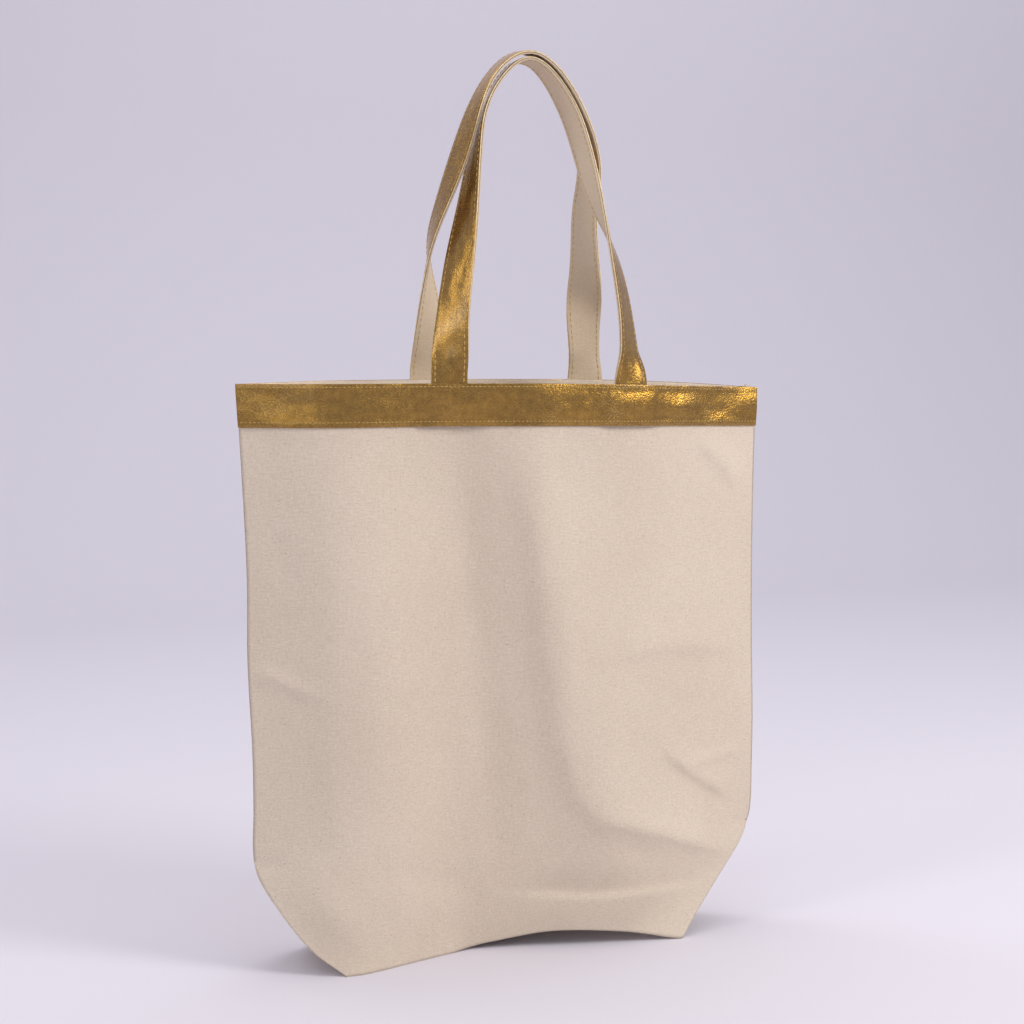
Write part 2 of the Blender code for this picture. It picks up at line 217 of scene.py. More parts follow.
class Graph:
    """A material's node tree, with short ways to add and join its nodes."""

    def __init__(self, name: str) -> None:
        """Start a material that holds one Principled shader.

        Args:
            name: the material's name.
        """
        self.material = bpy.data.materials.new(name)
        self.material.use_nodes = True
        self.tree = self.material.node_tree
        self.shader = self.tree.nodes["Principled BSDF"]

    def node(self, kind: str, inputs: dict | None = None, **settings: object) -> bpy.types.Node:
        """Add a node.

        Args:
            kind: the node's type, without its ShaderNode prefix.
            inputs: socket names with the value or the output socket that each takes.
            settings: the node's own properties.

        Returns:
            The new node.
        """
        made = self.tree.nodes.new("ShaderNode" + kind)
        for key, value in settings.items():
            setattr(made, key, value)
        for key, value in (inputs or {}).items():
            self.feed(made.inputs[key], value)
        return made

    def feed(self, socket: Socket, value: object) -> None:
        """Give a socket a constant or join an output to it.

        Args:
            socket: the input socket.
            value: a number, a tuple or an output socket.
        """
        if isinstance(value, Socket):
            self.tree.links.new(value, socket)
        else:
            socket.default_value = value

    def math(self, operation: str, a: object, b: object = 0.0) -> Socket:
        """Add a Math node.

        Args:
            operation: the node's operation.
            a: first value.
            b: second value.

        Returns:
            The result's socket.
        """
        made = self.node("Math", operation=operation)
        for socket, value in zip(made.inputs, (a, b)):
            self.feed(socket, value)
        return made.outputs[0]

    def noise(self, vector: object, scale: float, detail: float = 3.0, rough: float = 0.55) -> Socket:
        """Add a noise texture.

        Args:
            vector: where the texture is read.
            scale: its scale, in cells per unit.
            detail: octaves.
            rough: weight of the finer octaves.

        Returns:
            The noise value, about 0 to 1.
        """
        inputs = {"Vector": vector, "Scale": scale, "Detail": detail, "Roughness": rough}
        return self.node("TexNoise", inputs).outputs["Fac"]

    def stretched(self, vector: object, scale: tuple[float, float, float]) -> Socket:
        """Scale a vector by axis.

        Args:
            vector: the vector.
            scale: factors.

        Returns:
            The scaled vector.
        """
        return self.node("Mapping", {"Vector": vector, "Scale": scale}).outputs[0]

    def mix(self, share: object, a: object, b: object) -> Socket:
        """Mix two colours.

        Args:
            share: weight of the second colour.
            a: first colour.
            b: second colour.

        Returns:
            The mixed colour.
        """
        made = self.node("Mix", data_type="RGBA")
        self.feed(made.inputs["Factor"], share)
        for key, value in ((6, a), (7, b)):
            self.feed(made.inputs[key], (*value, 1.0) if isinstance(value, tuple) else value)
        return made.outputs[2]

    def spread(
        self, value: object, low: float, high: float, to_low: float = 0.0, to_high: float = 1.0,
    ) -> Socket:
        """Map a range of values to another one, clamped.

        Args:
            value: the value.
            low: start of its range.
            high: end of its range.
            to_low: what the start becomes.
            to_high: what the end becomes.

        Returns:
            The mapped value.
        """
        inputs = {"Value": value, "From Min": low, "From Max": high, "To Min": to_low, "To Max": to_high}
        return self.node("MapRange", inputs).outputs[0]

    def bump(self, height: object, distance: float, strength: float = 1.0, normal: object = None) -> Socket:
        """Add a bump.

        Args:
            height: the height, 0 to 1.
            distance: how far 1 stands out, in metres.
            strength: weight of the bump.
            normal: the bump it is added to.

        Returns:
            The bent normal.
        """
        made = self.node("Bump", {"Height": height, "Distance": distance, "Strength": strength})
        if normal is not None:
            self.feed(made.inputs["Normal"], normal)
        return made.outputs[0]


@dataclass(frozen=True)
class ClothFinish:
    """Plain-woven cotton, drawn from the flat position of each point of the cloth."""

    name: str
    light: Colour
    dark: Colour
    thread_pitch: float
    slub: float = 0.5
    specks: float = 0.5
    speck: Colour = (0.30, 0.20, 0.12)
    relief: float = 0.00012

    def build(self) -> bpy.types.Material:
        """Make the material.

        Returns:
            The material.
        """
        g = Graph(self.name)
        flat = g.node("UVMap", uv_map="flat").outputs[0]
        place = g.node("SeparateXYZ", {"Vector": flat})
        drift = g.math("SUBTRACT", g.noise(flat, 90.0, 2.0), 0.5)
        wobble = g.math("MULTIPLY", drift, self.thread_pitch * 2.2)
        turns = []
        for axis in (0, 1):
            shifted = g.math("ADD", place.outputs[axis], wobble)
            turns.append(g.math("MULTIPLY", shifted, math.pi / self.thread_pitch))
        warp, weft = (g.math("SINE", turn) for turn in turns)
        checker = g.math("GREATER_THAN", g.math("MULTIPLY", warp, weft), 0.0)
        over = g.math("MULTIPLY", g.math("ABSOLUTE", warp), checker)
        under = g.math("MULTIPLY", g.math("ABSOLUTE", weft), g.math("SUBTRACT", 1.0, checker))
        weave = g.math("ADD", over, under)
        streak = g.noise(g.stretched(flat, (130.0, 1150.0, 1.0)), 1.0, 3.0, 0.7)
        upright = g.noise(g.stretched(flat, (950.0, 120.0, 1.0)), 1.0, 3.0, 0.7)
        cloudy = g.noise(flat, 9.0, 4.0)
        grain = g.noise(g.stretched(flat, (520.0, 680.0, 1.0)), 1.0, 3.0, 0.75)
        # The weave's share of the tone makes the gaps between the yarns darker: painted shade. The slubs,
        # grain and clouds are the cotton's own uneven tone.
        tone = g.math("ADD", g.math("MULTIPLY", weave, 0.20), g.math("MULTIPLY", streak, 0.6 * self.slub))
        tone = g.math("ADD", tone, g.math("MULTIPLY", upright, 0.3 * self.slub))
        tone = g.math("ADD", tone, g.math("MULTIPLY", grain, 0.45))
        tone = g.math("ADD", tone, g.math("MULTIPLY", cloudy, 0.22))
        colour = g.mix(g.spread(tone, 0.50, 0.84), self.dark, self.light)
        fleck = g.node("TexVoronoi", {"Vector": g.stretched(flat, (330.0, 420.0, 1.0)), "Scale": 1.0})
        pick = g.node("SeparateColor", {"Color": fleck.outputs["Color"]})
        rare = g.math("GREATER_THAN", pick.outputs[0], 0.955)
        dot = g.math("MULTIPLY", g.math("LESS_THAN", fleck.outputs["Distance"], 0.15), rare)
        colour = g.mix(g.math("MULTIPLY", dot, self.specks), colour, self.speck)
        g.feed(g.shader.inputs["Base Color"], colour)
        g.shader.inputs["Roughness"].default_value = 0.92
        g.shader.inputs["Specular IOR Level"].default_value = 0.18
        g.shader.inputs["Sheen Weight"].default_value = 0.12
        g.shader.inputs["Sheen Roughness"].default_value = 0.5
        coarse = g.bump(g.math("ADD", g.math("MULTIPLY", streak, 0.4), grain), self.relief * 3.2, 0.9)
        g.feed(g.shader.inputs["Normal"], g.bump(weave, self.relief, 0.9, coarse))
        return g.material


@dataclass(frozen=True)
class LeatheretteFinish:
    """Crinkled metallic foil on a soft backing, with painted shade in its crinkles' hollows and pale patches
    on its raised crinkles that are partly wear and partly painted glints.
    """

    name: str
    deep: Colour = (0.225, 0.118, 0.014)
    middle: Colour = (0.405, 0.240, 0.046)
    wear_and_glint: Colour = (0.88, 0.65, 0.28)
    edge_tint: Colour = (1.0, 0.84, 0.52)
    coat: float = 0.90
    coat_roughness: float = 0.24
    coat_tint: Colour = (1.0, 0.95, 0.84)
    roughness: float = 0.27
    wear_and_glint_share: float = 0.35
    crinkle: float = 0.00015
    sway: float = 0.0050
    sway_scale: tuple[float, float, float] = (40.0, 15.0, 1.0)

    def build(self) -> bpy.types.Material:
        """Make the material.

        Returns:
            The material.
        """
        g = Graph(self.name)
        flat = g.node("UVMap", uv_map="flat").outputs[0]
        warp = g.node("TexNoise", {"Vector": flat, "Scale": 160.0, "Detail": 2.0})
        push = g.node("VectorMath", {0: warp.outputs["Color"], "Scale": 0.0035}, operation="SCALE")
        bent = g.node("VectorMath", {0: flat, 1: push.outputs[0]}, operation="ADD")
        cells = g.node("TexVoronoi", {"Vector": bent.outputs[0], "Scale": 900.0}, feature="SMOOTH_F1")
        fine = g.noise(flat, 900.0, 4.0, 0.65)
        broad = g.noise(flat, 210.0, 3.0)
        patches = g.noise(flat, 38.0, 3.0)
        height = g.math("MULTIPLY", cells.outputs["Distance"], 0.55)
        height = g.math("ADD", height, g.math("MULTIPLY", fine, 0.35))
        height = g.math("ADD", height, g.math("MULTIPLY", broad, 0.9))
        # The colour follows the crinkle's height, deeper gold in its hollows and lighter on its crests:
        # painted shade.
        tone = g.math("ADD", g.math("MULTIPLY", broad, 0.6), g.math("MULTIPLY", fine, 0.4))
        colour = g.mix(g.spread(tone, 0.28, 0.70), self.deep, self.middle)
        # Pale patches where the fine noise and the broad patches run high: partly wear, partly painted glints
        # on the foil.
        wear_and_glint_mask = g.math("ADD", g.math("MULTIPLY", fine, 0.6), g.math("MULTIPLY", patches, 0.4))
        wear_and_glint_mask = g.math("MULTIPLY", g.spread(wear_and_glint_mask, 0.55, 0.70), self.wear_and_glint_share)
        colour = g.mix(wear_and_glint_mask, colour, self.wear_and_glint)
        g.feed(g.shader.inputs["Base Color"], colour)
        smooth, dull = self.roughness - 0.10, self.roughness + 0.12
        g.feed(g.shader.inputs["Roughness"], g.spread(fine, 0.3, 0.7, smooth, dull))
        g.shader.inputs["Metallic"].default_value = 1.0
        g.shader.inputs["Specular Tint"].default_value = (*self.edge_tint, 1.0)
        g.shader.inputs["Coat Weight"].default_value = self.coat
        g.shader.inputs["Coat Roughness"].default_value = self.coat_roughness
        g.shader.inputs["Coat Tint"].default_value = (*self.coat_tint, 1.0)
        sway = g.bump(g.noise(g.stretched(flat, self.sway_scale), 1.0, 2.0), self.sway, 1.0)
        rough_bump = g.bump(height, self.crinkle * 2.2, 0.8, sway)
        g.feed(g.shader.inputs["Normal"], g.bump(fine, self.crinkle * 0.5, 0.7, rough_bump))
        return g.material


@dataclass(frozen=True)
class ThreadFinish:
    """Sewing thread or a cut edge: one colour that varies a little along the piece."""

    name: str
    colour: Colour
    dark: Colour
    roughness: float = 0.6
    sheen: float = 0.2

    def build(self) -> bpy.types.Material:
        """Make the material.

        Returns:
            The material.
        """
        g = Graph(self.name)
        place = g.node("TexCoord").outputs["Object"]
        colour = g.mix(g.spread(g.noise(place, 420.0, 2.0), 0.35, 0.65), self.dark, self.colour)
        g.feed(g.shader.inputs["Base Color"], colour)
        g.shader.inputs["Roughness"].default_value = self.roughness
        g.shader.inputs["Sheen Weight"].default_value = self.sheen
        g.feed(g.shader.inputs["Normal"], g.bump(g.noise(place, 2600.0, 1.0), 0.0001, 0.6))
        return g.material


@dataclass(frozen=True)
class FloorFinish:
    """A plain pale sweep."""

    name: str = "studio_sweep"
    colour: Colour = (0.712, 0.688, 0.747)

    def build(self) -> bpy.types.Material:
        """Make the material.

        Returns:
            The material.
        """
        g = Graph(self.name)
        g.shader.inputs["Base Color"].default_value = (*self.colour, 1.0)
        g.shader.inputs["Roughness"].default_value = 0.9
        return g.material


@dataclass
class Wardrobe:
    """Every finish of the bag, built once and shared between its pieces."""

    canvas: ClothFinish = ClothFinish(
        "canvas_weave", (0.835, 0.722, 0.588), (0.600, 0.492, 0.372), 0.00085)
    strap_canvas: ClothFinish = ClothFinish(
        "strap_weave", (0.76, 0.63, 0.47), (0.62, 0.49, 0.34), 0.0007, specks=0.2)
    leatherette: LeatheretteFinish = LeatheretteFinish("gold_foil")
    band_foil: LeatheretteFinish = LeatheretteFinish(
        "band_foil", sway=0.0090, sway_scale=(13.0, 24.0, 1.0))
    cut_edge: ThreadFinish = ThreadFinish("cut_edge", (0.86, 0.70, 0.44), (0.70, 0.51, 0.26), 0.6, 0.1)
    gold_thread: ThreadFinish = ThreadFinish("thread_gold", (0.70, 0.47, 0.14), (0.48, 0.29, 0.06), 0.5, 0.2)
    band_thread: ThreadFinish = ThreadFinish("thread_band", (0.56, 0.36, 0.09), (0.36, 0.21, 0.04), 0.5, 0.1)
    ecru_thread: ThreadFinish = ThreadFinish("thread_ecru", (0.74, 0.62, 0.50), (0.60, 0.48, 0.37))
    built: dict[str, bpy.types.Material] = field(default_factory=dict)

    def get(self, finish: ClothFinish | LeatheretteFinish | ThreadFinish) -> bpy.types.Material:
        """The material of a finish, made the first time that it is asked for.

        Args:
            finish: one of this wardrobe's finishes.

        Returns:
            Its material.
        """
        if finish.name not in self.built:
            self.built[finish.name] = finish.build()
        return self.built[finish.name]


# ---------------------------------------------------------------- mesh helpers


def laid_grid(places: Array, flats: Array, sheet: bmesh.types.BMesh | None = None) -> bmesh.types.BMesh:
    """Add a grid of quads that is laid at given places.

    Args:
        places: positions, shape (columns + 1, rows + 1, 3).
        flats: the same points' places on the flat cut, shape (columns + 1, rows + 1, 2).
        sheet: the mesh it is added to, or None for a new one.

    Returns:
        The mesh.
    """
    sheet = sheet or bmesh.new()
    layer = sheet.loops.layers.uv.get("flat") or sheet.loops.layers.uv.new("flat")
    columns, rows = places.shape[0] - 1, places.shape[1] - 1
    made = bmesh.ops.create_grid(sheet, x_segments=columns, y_segments=rows, size=0.5)["verts"]
    index = {}
    for vert in made:
        index[vert] = (round((vert.co.x + 0.5) * columns), round((vert.co.y + 0.5) * rows))
    for face in {face for vert in made for face in vert.link_faces}:
        for loop in face.loops:
            loop[layer].uv = flats[index[loop.vert]]
    for vert in made:
        vert.co = places[index[vert]]
    return sheet


def finished(
    name: str,
    sheet: bmesh.types.BMesh,
    materials: Sequence[bpy.types.Material],
    facing: tuple[Vector, Vector] | None = None,
    thickness: float = 0.0,
    offset: float = -1.0,
    round_edge: float = 0.0,
) -> bpy.types.Object:
    """Store a mesh as an object with its finish and thickness.

    Args:
        name: the piece's name.
        sheet: the mesh, which is freed.
        materials: its materials. A second one goes on the sheet's cut edges.
        facing: a point of the face and the direction that it faces.
        thickness: the sheet's thickness, or 0 for a closed mesh.
        offset: which side the thickness is on: 1 outwards, -1 inwards.
        round_edge: radius of its edges.

    Returns:
        The object.
    """
    if facing is not None:
        bmesh.ops.recalc_face_normals(sheet, faces=sheet.faces)
        point, way = facing
        nearest = min(sheet.faces, key=lambda face: (face.calc_center_median() - point).length_squared)
        if nearest.normal.dot(way) < 0:
            bmesh.ops.reverse_faces(sheet, faces=sheet.faces)
    mesh = bpy.data.meshes.new(name)
    sheet.to_mesh(mesh)
    sheet.free()
    for material in materials:
        mesh.materials.append(material)
    mesh.shade_smooth()
    thing = bpy.data.objects.new(name, mesh)
    bpy.context.scene.collection.objects.link(thing)
    if thickness:
        solid = thing.modifiers.new("thickness", "SOLIDIFY")
        solid.thickness, solid.offset, solid.use_rim = thickness, offset, True
        solid.material_offset_rim = len(materials) - 1
    if round_edge:
        bevel = thing.modifiers.new("soft_edge", "BEVEL")
        bevel.width, bevel.segments, bevel.limit_method = round_edge, 2, "ANGLE"
        bevel.angle_limit = SHARP_ANGLE
    return thing


@dataclass(frozen=True)
class StitchSize:
    """One row's stitches: length and width of the thread that shows, and the pitch of the needle holes."""

    pitch: float = 0.0029
    length: float = 0.0022
    width: float = 0.0007
    height: float = 0.0005
    around: int = 6
    rings: int = 4


def stitch_row(sheet: bmesh.types.BMesh, path: Array, outs: Array, size: StitchSize) -> int:
    """Sew one row of separate stitches into a mesh.

    Args:
        sheet: the mesh that they are added to.
        path: points along the row, shape (n, 3).
        outs: the surface's direction at those points.
        size: the stitches' size.

    Returns:
        How many were made.
    """
    steps = np.linalg.norm(np.diff(path, axis=0), axis=1)
    along = np.concatenate([[0.0], np.cumsum(steps)])
    count = int(along[-1] / size.pitch)
    for k in range(count):
        at = (k + 0.5) * along[-1] / count
        ends = [at - size.length / 2, at + size.length / 2]
        a, b = (Vector([np.interp(e, along, path[:, c]) for c in range(3)]) for e in ends)
        out = Vector([np.interp(at, along, outs[:, c]) for c in range(3)]).normalized()
        way = (b - a).normalized()
        side = out.cross(way).normalized()
        basis = Matrix((way, side, way.cross(side))).transposed().to_4x4()
        scale = Matrix.Diagonal((size.length / 2, size.width / 2, size.height / 2, 1.0))
        turn = Matrix.Rotation(math.pi / 2, 4, "Y")
        place = Matrix.Translation((a + b) / 2) @ basis @ scale @ turn
        bmesh.ops.create_uvsphere(
            sheet, u_segments=size.around, v_segments=size.rings, radius=1.0, matrix=place)
    return count


# ---------------------------------------------------------------- the cloth's form


@dataclass(frozen=True)
class Crease:
    """A fold in a panel: a line on its face, its height, and its width to the line's left and right."""

    line: tuple[tuple[float, float], ...]
    height: float
    left: float
    right: float
    fade_share: float = 0.28
    end_share: float = 0.15

    def relief(self, x: Array, z: Array) -> Array:
        """How far the fold stands out at points of the face.

        Args:
            x: places along the bag's width.
            z: heights.

        Returns:
            Distances, positive outwards.
        """
        points = np.array(self.line)
        lengths = np.linalg.norm(np.diff(points, axis=0), axis=1)
        total, walked = lengths.sum(), 0.0
        best, value = np.full(x.shape, np.inf), np.zeros(x.shape)
        for start, end, length in zip(points[:-1], points[1:], lengths):
            way = (end - start) / length
            rx, rz = x - start[0], z - start[1]
            run = np.clip(rx * way[0] + rz * way[1], 0, length)
            away = np.hypot(rx - run * way[0], rz - run * way[1])
            width = np.where(rx * way[1] - rz * way[0] > 0, self.right, self.left)
            share = (walked + run) / total
            fade = ease(np.clip(np.minimum(share, 1 - share) / self.fade_share, 0, 1))
            fade = fade * (1 - self.end_share) + self.end_share
            bulge = fade * np.exp(-((away / width) ** 2))
            nearer = away < best
            value = np.where(nearer, bulge, value)
            best = np.where(nearer, away, best)
            walked += length
        return self.height * value


@dataclass
class PanelForm:
    """The outer surface of one canvas panel, as a depth in front of the seam's plane."""

    side: Side
    form: tuple[tuple[float, Row], ...]
    lift: Row
    creases: tuple[Crease, ...]
    wrinkle: float = 0.00055
    seed: float = 0.0
    ends: tuple[float, ...] = ()
    dent: float = 0.0016
    dent_below: float = 0.012
    dent_height: float = 0.018
    side_fade: float = 0.07
    foot_fade: float = 0.012
    soft_scale: tuple[float, float] = (22, 11)
    small_across: tuple[float, float] = (60, 24)
    small_up: tuple[float, float] = (-16, 44)
    small_share: float = 0.42
    small_seed: float = 5.0
    slope_step: float = 0.012
    rim_rise: Row = ((-1, 0.0018), (0, 0.0016), (0.45, 0.0), (1, -0.0029))
    left_edge: Row = (
        (0.0, -0.1250), (0.016, -0.1456), (0.032, -0.1590), (0.049, -0.1698), (0.065, -0.1775),
        (0.080, -0.1803), (0.110, -0.1797), (0.150, -0.1800), (0.210, -0.1824), (0.270, -0.1822),
        (0.340, -0.1850), (0.394, -0.1878),
    )
    right_edge: Row = (
        (0.0, 0.1205), (0.022, 0.1422), (0.044, 0.1654), (0.059, 0.1808), (0.072, 0.1893), (0.085, 0.1920),
        (0.110, 0.1925), (0.150, 0.1928), (0.210, 0.1914), (0.270, 0.1908), (0.340, 0.1913), (0.394, 0.1925),
    )

    def outline(self, height: Array) -> tuple[Array, Array]:
        """The bag's outline: the chamfer below the shoulder and the side seam above it.

        Args:
            height: heights.

        Returns:
            The middle of the bag and half its width at each of them.
        """
        left, right = (read(edge, height) for edge in (self.left_edge, self.right_edge))
        return (left + right) / 2, (right - left) / 2

    def over_straps(self, x: Array) -> Array:
        """Where the straps' sewn-in ends lie under the band.

        Args:
            x: places along the bag's width.

        Returns:
            1 over a strap end, 0 away from it.
        """
        share = np.zeros(len(x))
        for middle in self.ends:
            away = (np.abs(x - middle) - SIZES.strap_width / 2 - SIZES.strap_margin) / SIZES.strap_ease
            share = np.maximum(share, ease(np.clip(1 - away, 0, 1)))
        return share

    def across_at(self, x: Array, height: Array) -> Array:
        """Places across of points of the panel.

        Args:
            x: places along the bag's width.
            height: their heights.

        Returns:
            Places from -1 to 1.
        """
        middle, half = self.outline(height)
        return (x - middle) / half

    def rise(self, across: Array, height: Array) -> Array:
        """How much higher or lower than its level the cloth hangs, most at the rim.

        Args:
            across: places from -1 to 1.
            height: levels, one for each place.

        Returns:
            Heights over the level.
        """
        return read(self.rim_rise, across) * np.clip(height / SIZES.rim_height, 0, 1) ** 3

    def depth(self, across: Array, height: Array, fine: bool = True) -> Array:
        """Distance of the surface from the seam's plane.

        Args:
            across: places from -1 at the left edge to 1 at the right edge.
            height: heights, one for each place.
            fine: whether creases and wrinkles are added.

        Returns:
            Distances.
        """
        across, height = np.clip(across, -1, 1), np.asarray(height, float)
        levels = [level for level, _ in self.form]
        rows = np.stack([read(row, across) for _, row in self.form])
        inner = between(levels, rows, height)
        formed = between(levels, np.array([row[0][1] for _, row in self.form]), height)
        edge = np.maximum(0.0, SIZES.base_half_depth * (1 - height / SIZES.shoulder_height))
        share = 1 - ease(np.minimum(1.0, (1 - np.abs(across)) / SIZES.edge_blend))
        result = inner + (edge - formed) * share
        if fine:
            middle, half = self.outline(height)
            x = middle + across * half
            fade = ease(np.clip((1 - np.abs(across)) / self.side_fade, 0, 1))
            fade = fade * ease(np.clip(height / self.foot_fade, 0, 1))
            extra = sum(crease.relief(x, height) for crease in self.creases)
            pressed = ease(np.clip((height - SIZES.band_bottom + self.dent_below) / self.dent_height, 0, 1))
            extra = extra - self.dent * self.over_straps(x) * pressed
            result = result + fade * (extra + self.wrinkles(x, height))
        return result

    def wrinkles(self, x: Array, z: Array) -> Array:
        """The cloth's small undulations, longer up than across.

        Args:
            x: places along the bag's width.
            z: heights.

        Returns:
            Distances, positive outwards.
        """
        soft_x, soft_z = self.soft_scale
        (across_x, across_z), (up_x, up_z) = self.small_across, self.small_up
        found = []
        for a, b in zip(x, z):
            soft = noise.noise(Vector((a * soft_x, b * soft_z, self.seed)))
            across, up = a * across_x + b * across_z, b * up_z + a * up_x
            small = noise.noise(Vector((across, up, self.seed + self.small_seed)))
            found.append(soft + self.small_share * small)
        return self.wrinkle * np.array(found)

    def points(self, across: Array, height: Array, outward: Array | float = 0.0, fine: bool = True) -> Array:
        """Points of the surface, or off it.

        Args:
            across: places from -1 to 1.
            height: heights, one for each place.
            outward: distance off the surface.
            fine: whether creases and wrinkles are followed.

        Returns:
            Positions, shape (n, 3).
        """
        depth = np.maximum(self.depth(across, height, fine), SIZES.gap / 2)
        middle, half = self.outline(height)
        level = height + self.rise(across, height)
        spot = np.stack([middle + across * half, self.side.value * depth, level], axis=1)
        return spot + np.reshape(outward, (-1, 1)) * self.normals(across, height, fine)

    def normals(self, across: Array, height: Array, fine: bool = True) -> Array:
        """Outward directions of the surface, level in plan.

        Args:
            across: places from -1 to 1.
            height: heights, one for each place.
            fine: whether creases and wrinkles are followed.

        Returns:
            Unit vectors, shape (n, 3).
        """
        low = np.maximum(across - self.slope_step, -1)
        high = np.minimum(across + self.slope_step, 1)
        dx = (high - low) * self.outline(height)[1]
        ahead, behind = (np.maximum(self.depth(at, height, fine), SIZES.gap / 2) for at in (high, low))
        dy = self.side.value * (ahead - behind)
        length = np.hypot(dx, dy)
        return np.stack([-dy / length, dx / length, 0 * dx], axis=1) * self.side.value

    def bottom_lift(self, across: Array) -> Array:
        """How far the bottom fold is off the floor.

        Args:
            across: places from -1 to 1.

        Returns:
            Heights.
        """
        x = across * SIZES.base_half_length
        return np.maximum(0.0, read(self.lift, x))


FRONT = PanelForm(
    Side.FRONT,
    (
        (0.000, ((-1, 0.0375), (-0.88, 0.0365), (-0.28, 0.0125), (-0.12, 0.0132),
                 (0.4, 0.0290), (1, 0.0375))),
        (0.040, ((-1, 0.0167), (-0.76, 0.0345), (-0.24, 0.0135), (-0.08, 0.0160),
                 (0.55, 0.0345), (1, 0.0167))),
        (0.090, ((-1, 0.0), (-0.63, 0.0325), (-0.24, 0.0140), (0.02, 0.0240), (0.36, 0.0385), (1, 0.0))),
        (0.200, ((-1, 0.0), (-0.61, 0.0310), (-0.26, 0.0180), (-0.02, 0.0280), (0.17, 0.0390), (1, 0.0))),
        (0.300, ((-1, 0.0), (-0.65, 0.0300), (-0.28, 0.0200), (-0.10, 0.0290), (0.08, 0.0385), (1, 0.0))),
        (0.394, ((-1, 0.0), (-0.70, 0.0235), (-0.26, 0.0250), (-0.05, 0.0330), (0.12, 0.0355),
                 (0.42, 0.0315), (1, 0.0))),
    ),
    ((-0.125, 0), (-0.045, 0), (-0.015, 0.0045), (0.030, 0.0115), (0.080, 0.0085), (0.118, 0.001),
     (0.125, 0)),
    (
        Crease(((-0.011, 0.358), (0.011, 0.295), (0.018, 0.211), (0.030, 0.147), (0.043, 0.110),
                (0.058, 0.092), (0.107, 0.076), (0.137, 0.064), (0.172, 0.051)), 0.0034, 0.024, 0.0095),
        Crease(((-0.041, 0.372), (-0.032, 0.283), (-0.025, 0.214), (-0.018, 0.143), (-0.011, 0.072),
                (-0.011, 0.029)), -0.0030, 0.018, 0.014),
        Crease(((0.070, 0.070), (0.110, 0.056), (0.150, 0.050)), -0.0016, 0.010, 0.014),
        Crease(((-0.002, 0.041), (0.052, 0.036), (0.098, 0.038), (0.147, 0.038)), -0.0032, 0.013, 0.0036),
        Crease(((0.050, 0.096), (0.075, 0.0865), (0.107, 0.076), (0.137, 0.064), (0.172, 0.051)),
               0.0017, 0.009, 0.0036),
        Crease(((0.108, 0.138), (0.125, 0.123), (0.145, 0.109), (0.175, 0.091)), 0.0032, 0.014, 0.0036),
        Crease(((0.130, 0.122), (0.163, 0.124), (0.183, 0.126)), 0.0018, 0.006, 0.0034),
        Crease(((0.059, 0.205), (0.109, 0.210), (0.182, 0.204)), 0.0019, 0.015, 0.0060),
        Crease(((0.139, 0.359), (0.166, 0.337), (0.179, 0.319)), 0.0018, 0.010, 0.006),
        Crease(((-0.175, 0.362), (-0.102, 0.362)), 0.0010, 0.008, 0.005),
        Crease(((-0.187, 0.196), (-0.171, 0.201), (-0.138, 0.186)), 0.0020, 0.006, 0.004),
        Crease(((-0.130, 0.360), (-0.128, 0.240), (-0.131, 0.120), (-0.118, 0.030)), 0.0012, 0.010, 0.014),
        Crease(((-0.165, 0.300), (-0.158, 0.262)), -0.0012, 0.006, 0.006),
        Crease(((-0.10, 0.075), (-0.06, 0.052), (-0.02, 0.045)), -0.0010, 0.010, 0.010),
    ),
    seed=1.7,
)
BACK = PanelForm(
    Side.BACK,
    (
        (0.000, ((-1, 0.0375), (-0.86, 0.0360), (-0.20, 0.0290), (0.10, 0.0270), (0.7, 0.0350), (1, 0.0375))),
        (0.040, ((-1, 0.0167), (-0.74, 0.0340), (-0.20, 0.0300), (0.10, 0.0290),
                 (0.66, 0.0345), (1, 0.0167))),
        (0.090, ((-1, 0.0), (-0.62, 0.0320), (-0.20, 0.0330), (0.12, 0.0310), (0.56, 0.0330), (1, 0.0))),
        (0.200, ((-1, 0.0), (-0.62, 0.0280), (-0.22, 0.0340), (0.14, 0.0330), (0.52, 0.0300), (1, 0.0))),
        (0.394, ((-1, 0.0), (-0.62, 0.0230), (-0.26, 0.0265), (0.06, 0.0315), (0.38, 0.0310), (1, 0.0))),
    ),
    ((-0.125, 0), (-0.070, 0), (-0.020, 0.0030), (0.030, 0.0035), (0.075, 0), (0.125, 0)),
    (
        Crease(((0.060, 0.350), (0.040, 0.240), (0.050, 0.120), (0.075, 0.050)), 0.0014, 0.010, 0.022),
        Crease(((-0.060, 0.340), (-0.075, 0.200), (-0.060, 0.070)), -0.0012, 0.014, 0.012),
        Crease(((-0.175, 0.120), (-0.130, 0.090), (-0.080, 0.080)), 0.0018, 0.010, 0.005),
        Crease(((0.176, 0.140), (0.130, 0.100), (0.090, 0.085)), 0.0018, 0.006, 0.010),
        Crease(((-0.150, 0.340), (-0.172, 0.310)), 0.0012, 0.006, 0.006),
    ),
    seed=9.2,
    rim_rise=((-1, 0.0018), (-0.5, 0.0034), (0.3, 0.0030), (0.7, 0.0008), (1, -0.0029)),
)


def seam_inward(line: Array) -> Array:
    """Directions from a seam line into the bag, in the seam's plane.

    Args:
        line: points of the seam, shape (n, 3).

    Returns:
        Unit vectors at those points.
    """
    before = np.vstack([line[:1], line[:-1]])
    after = np.vstack([line[1:], line[-1:]])
    along = after - before
    inward = np.stack([-along[:, 2], 0 * along[:, 0], along[:, 0]], axis=1)
    return inward / np.linalg.norm(inward, axis=1)[:, None]


# ---------------------------------------------------------------- pieces of the bag


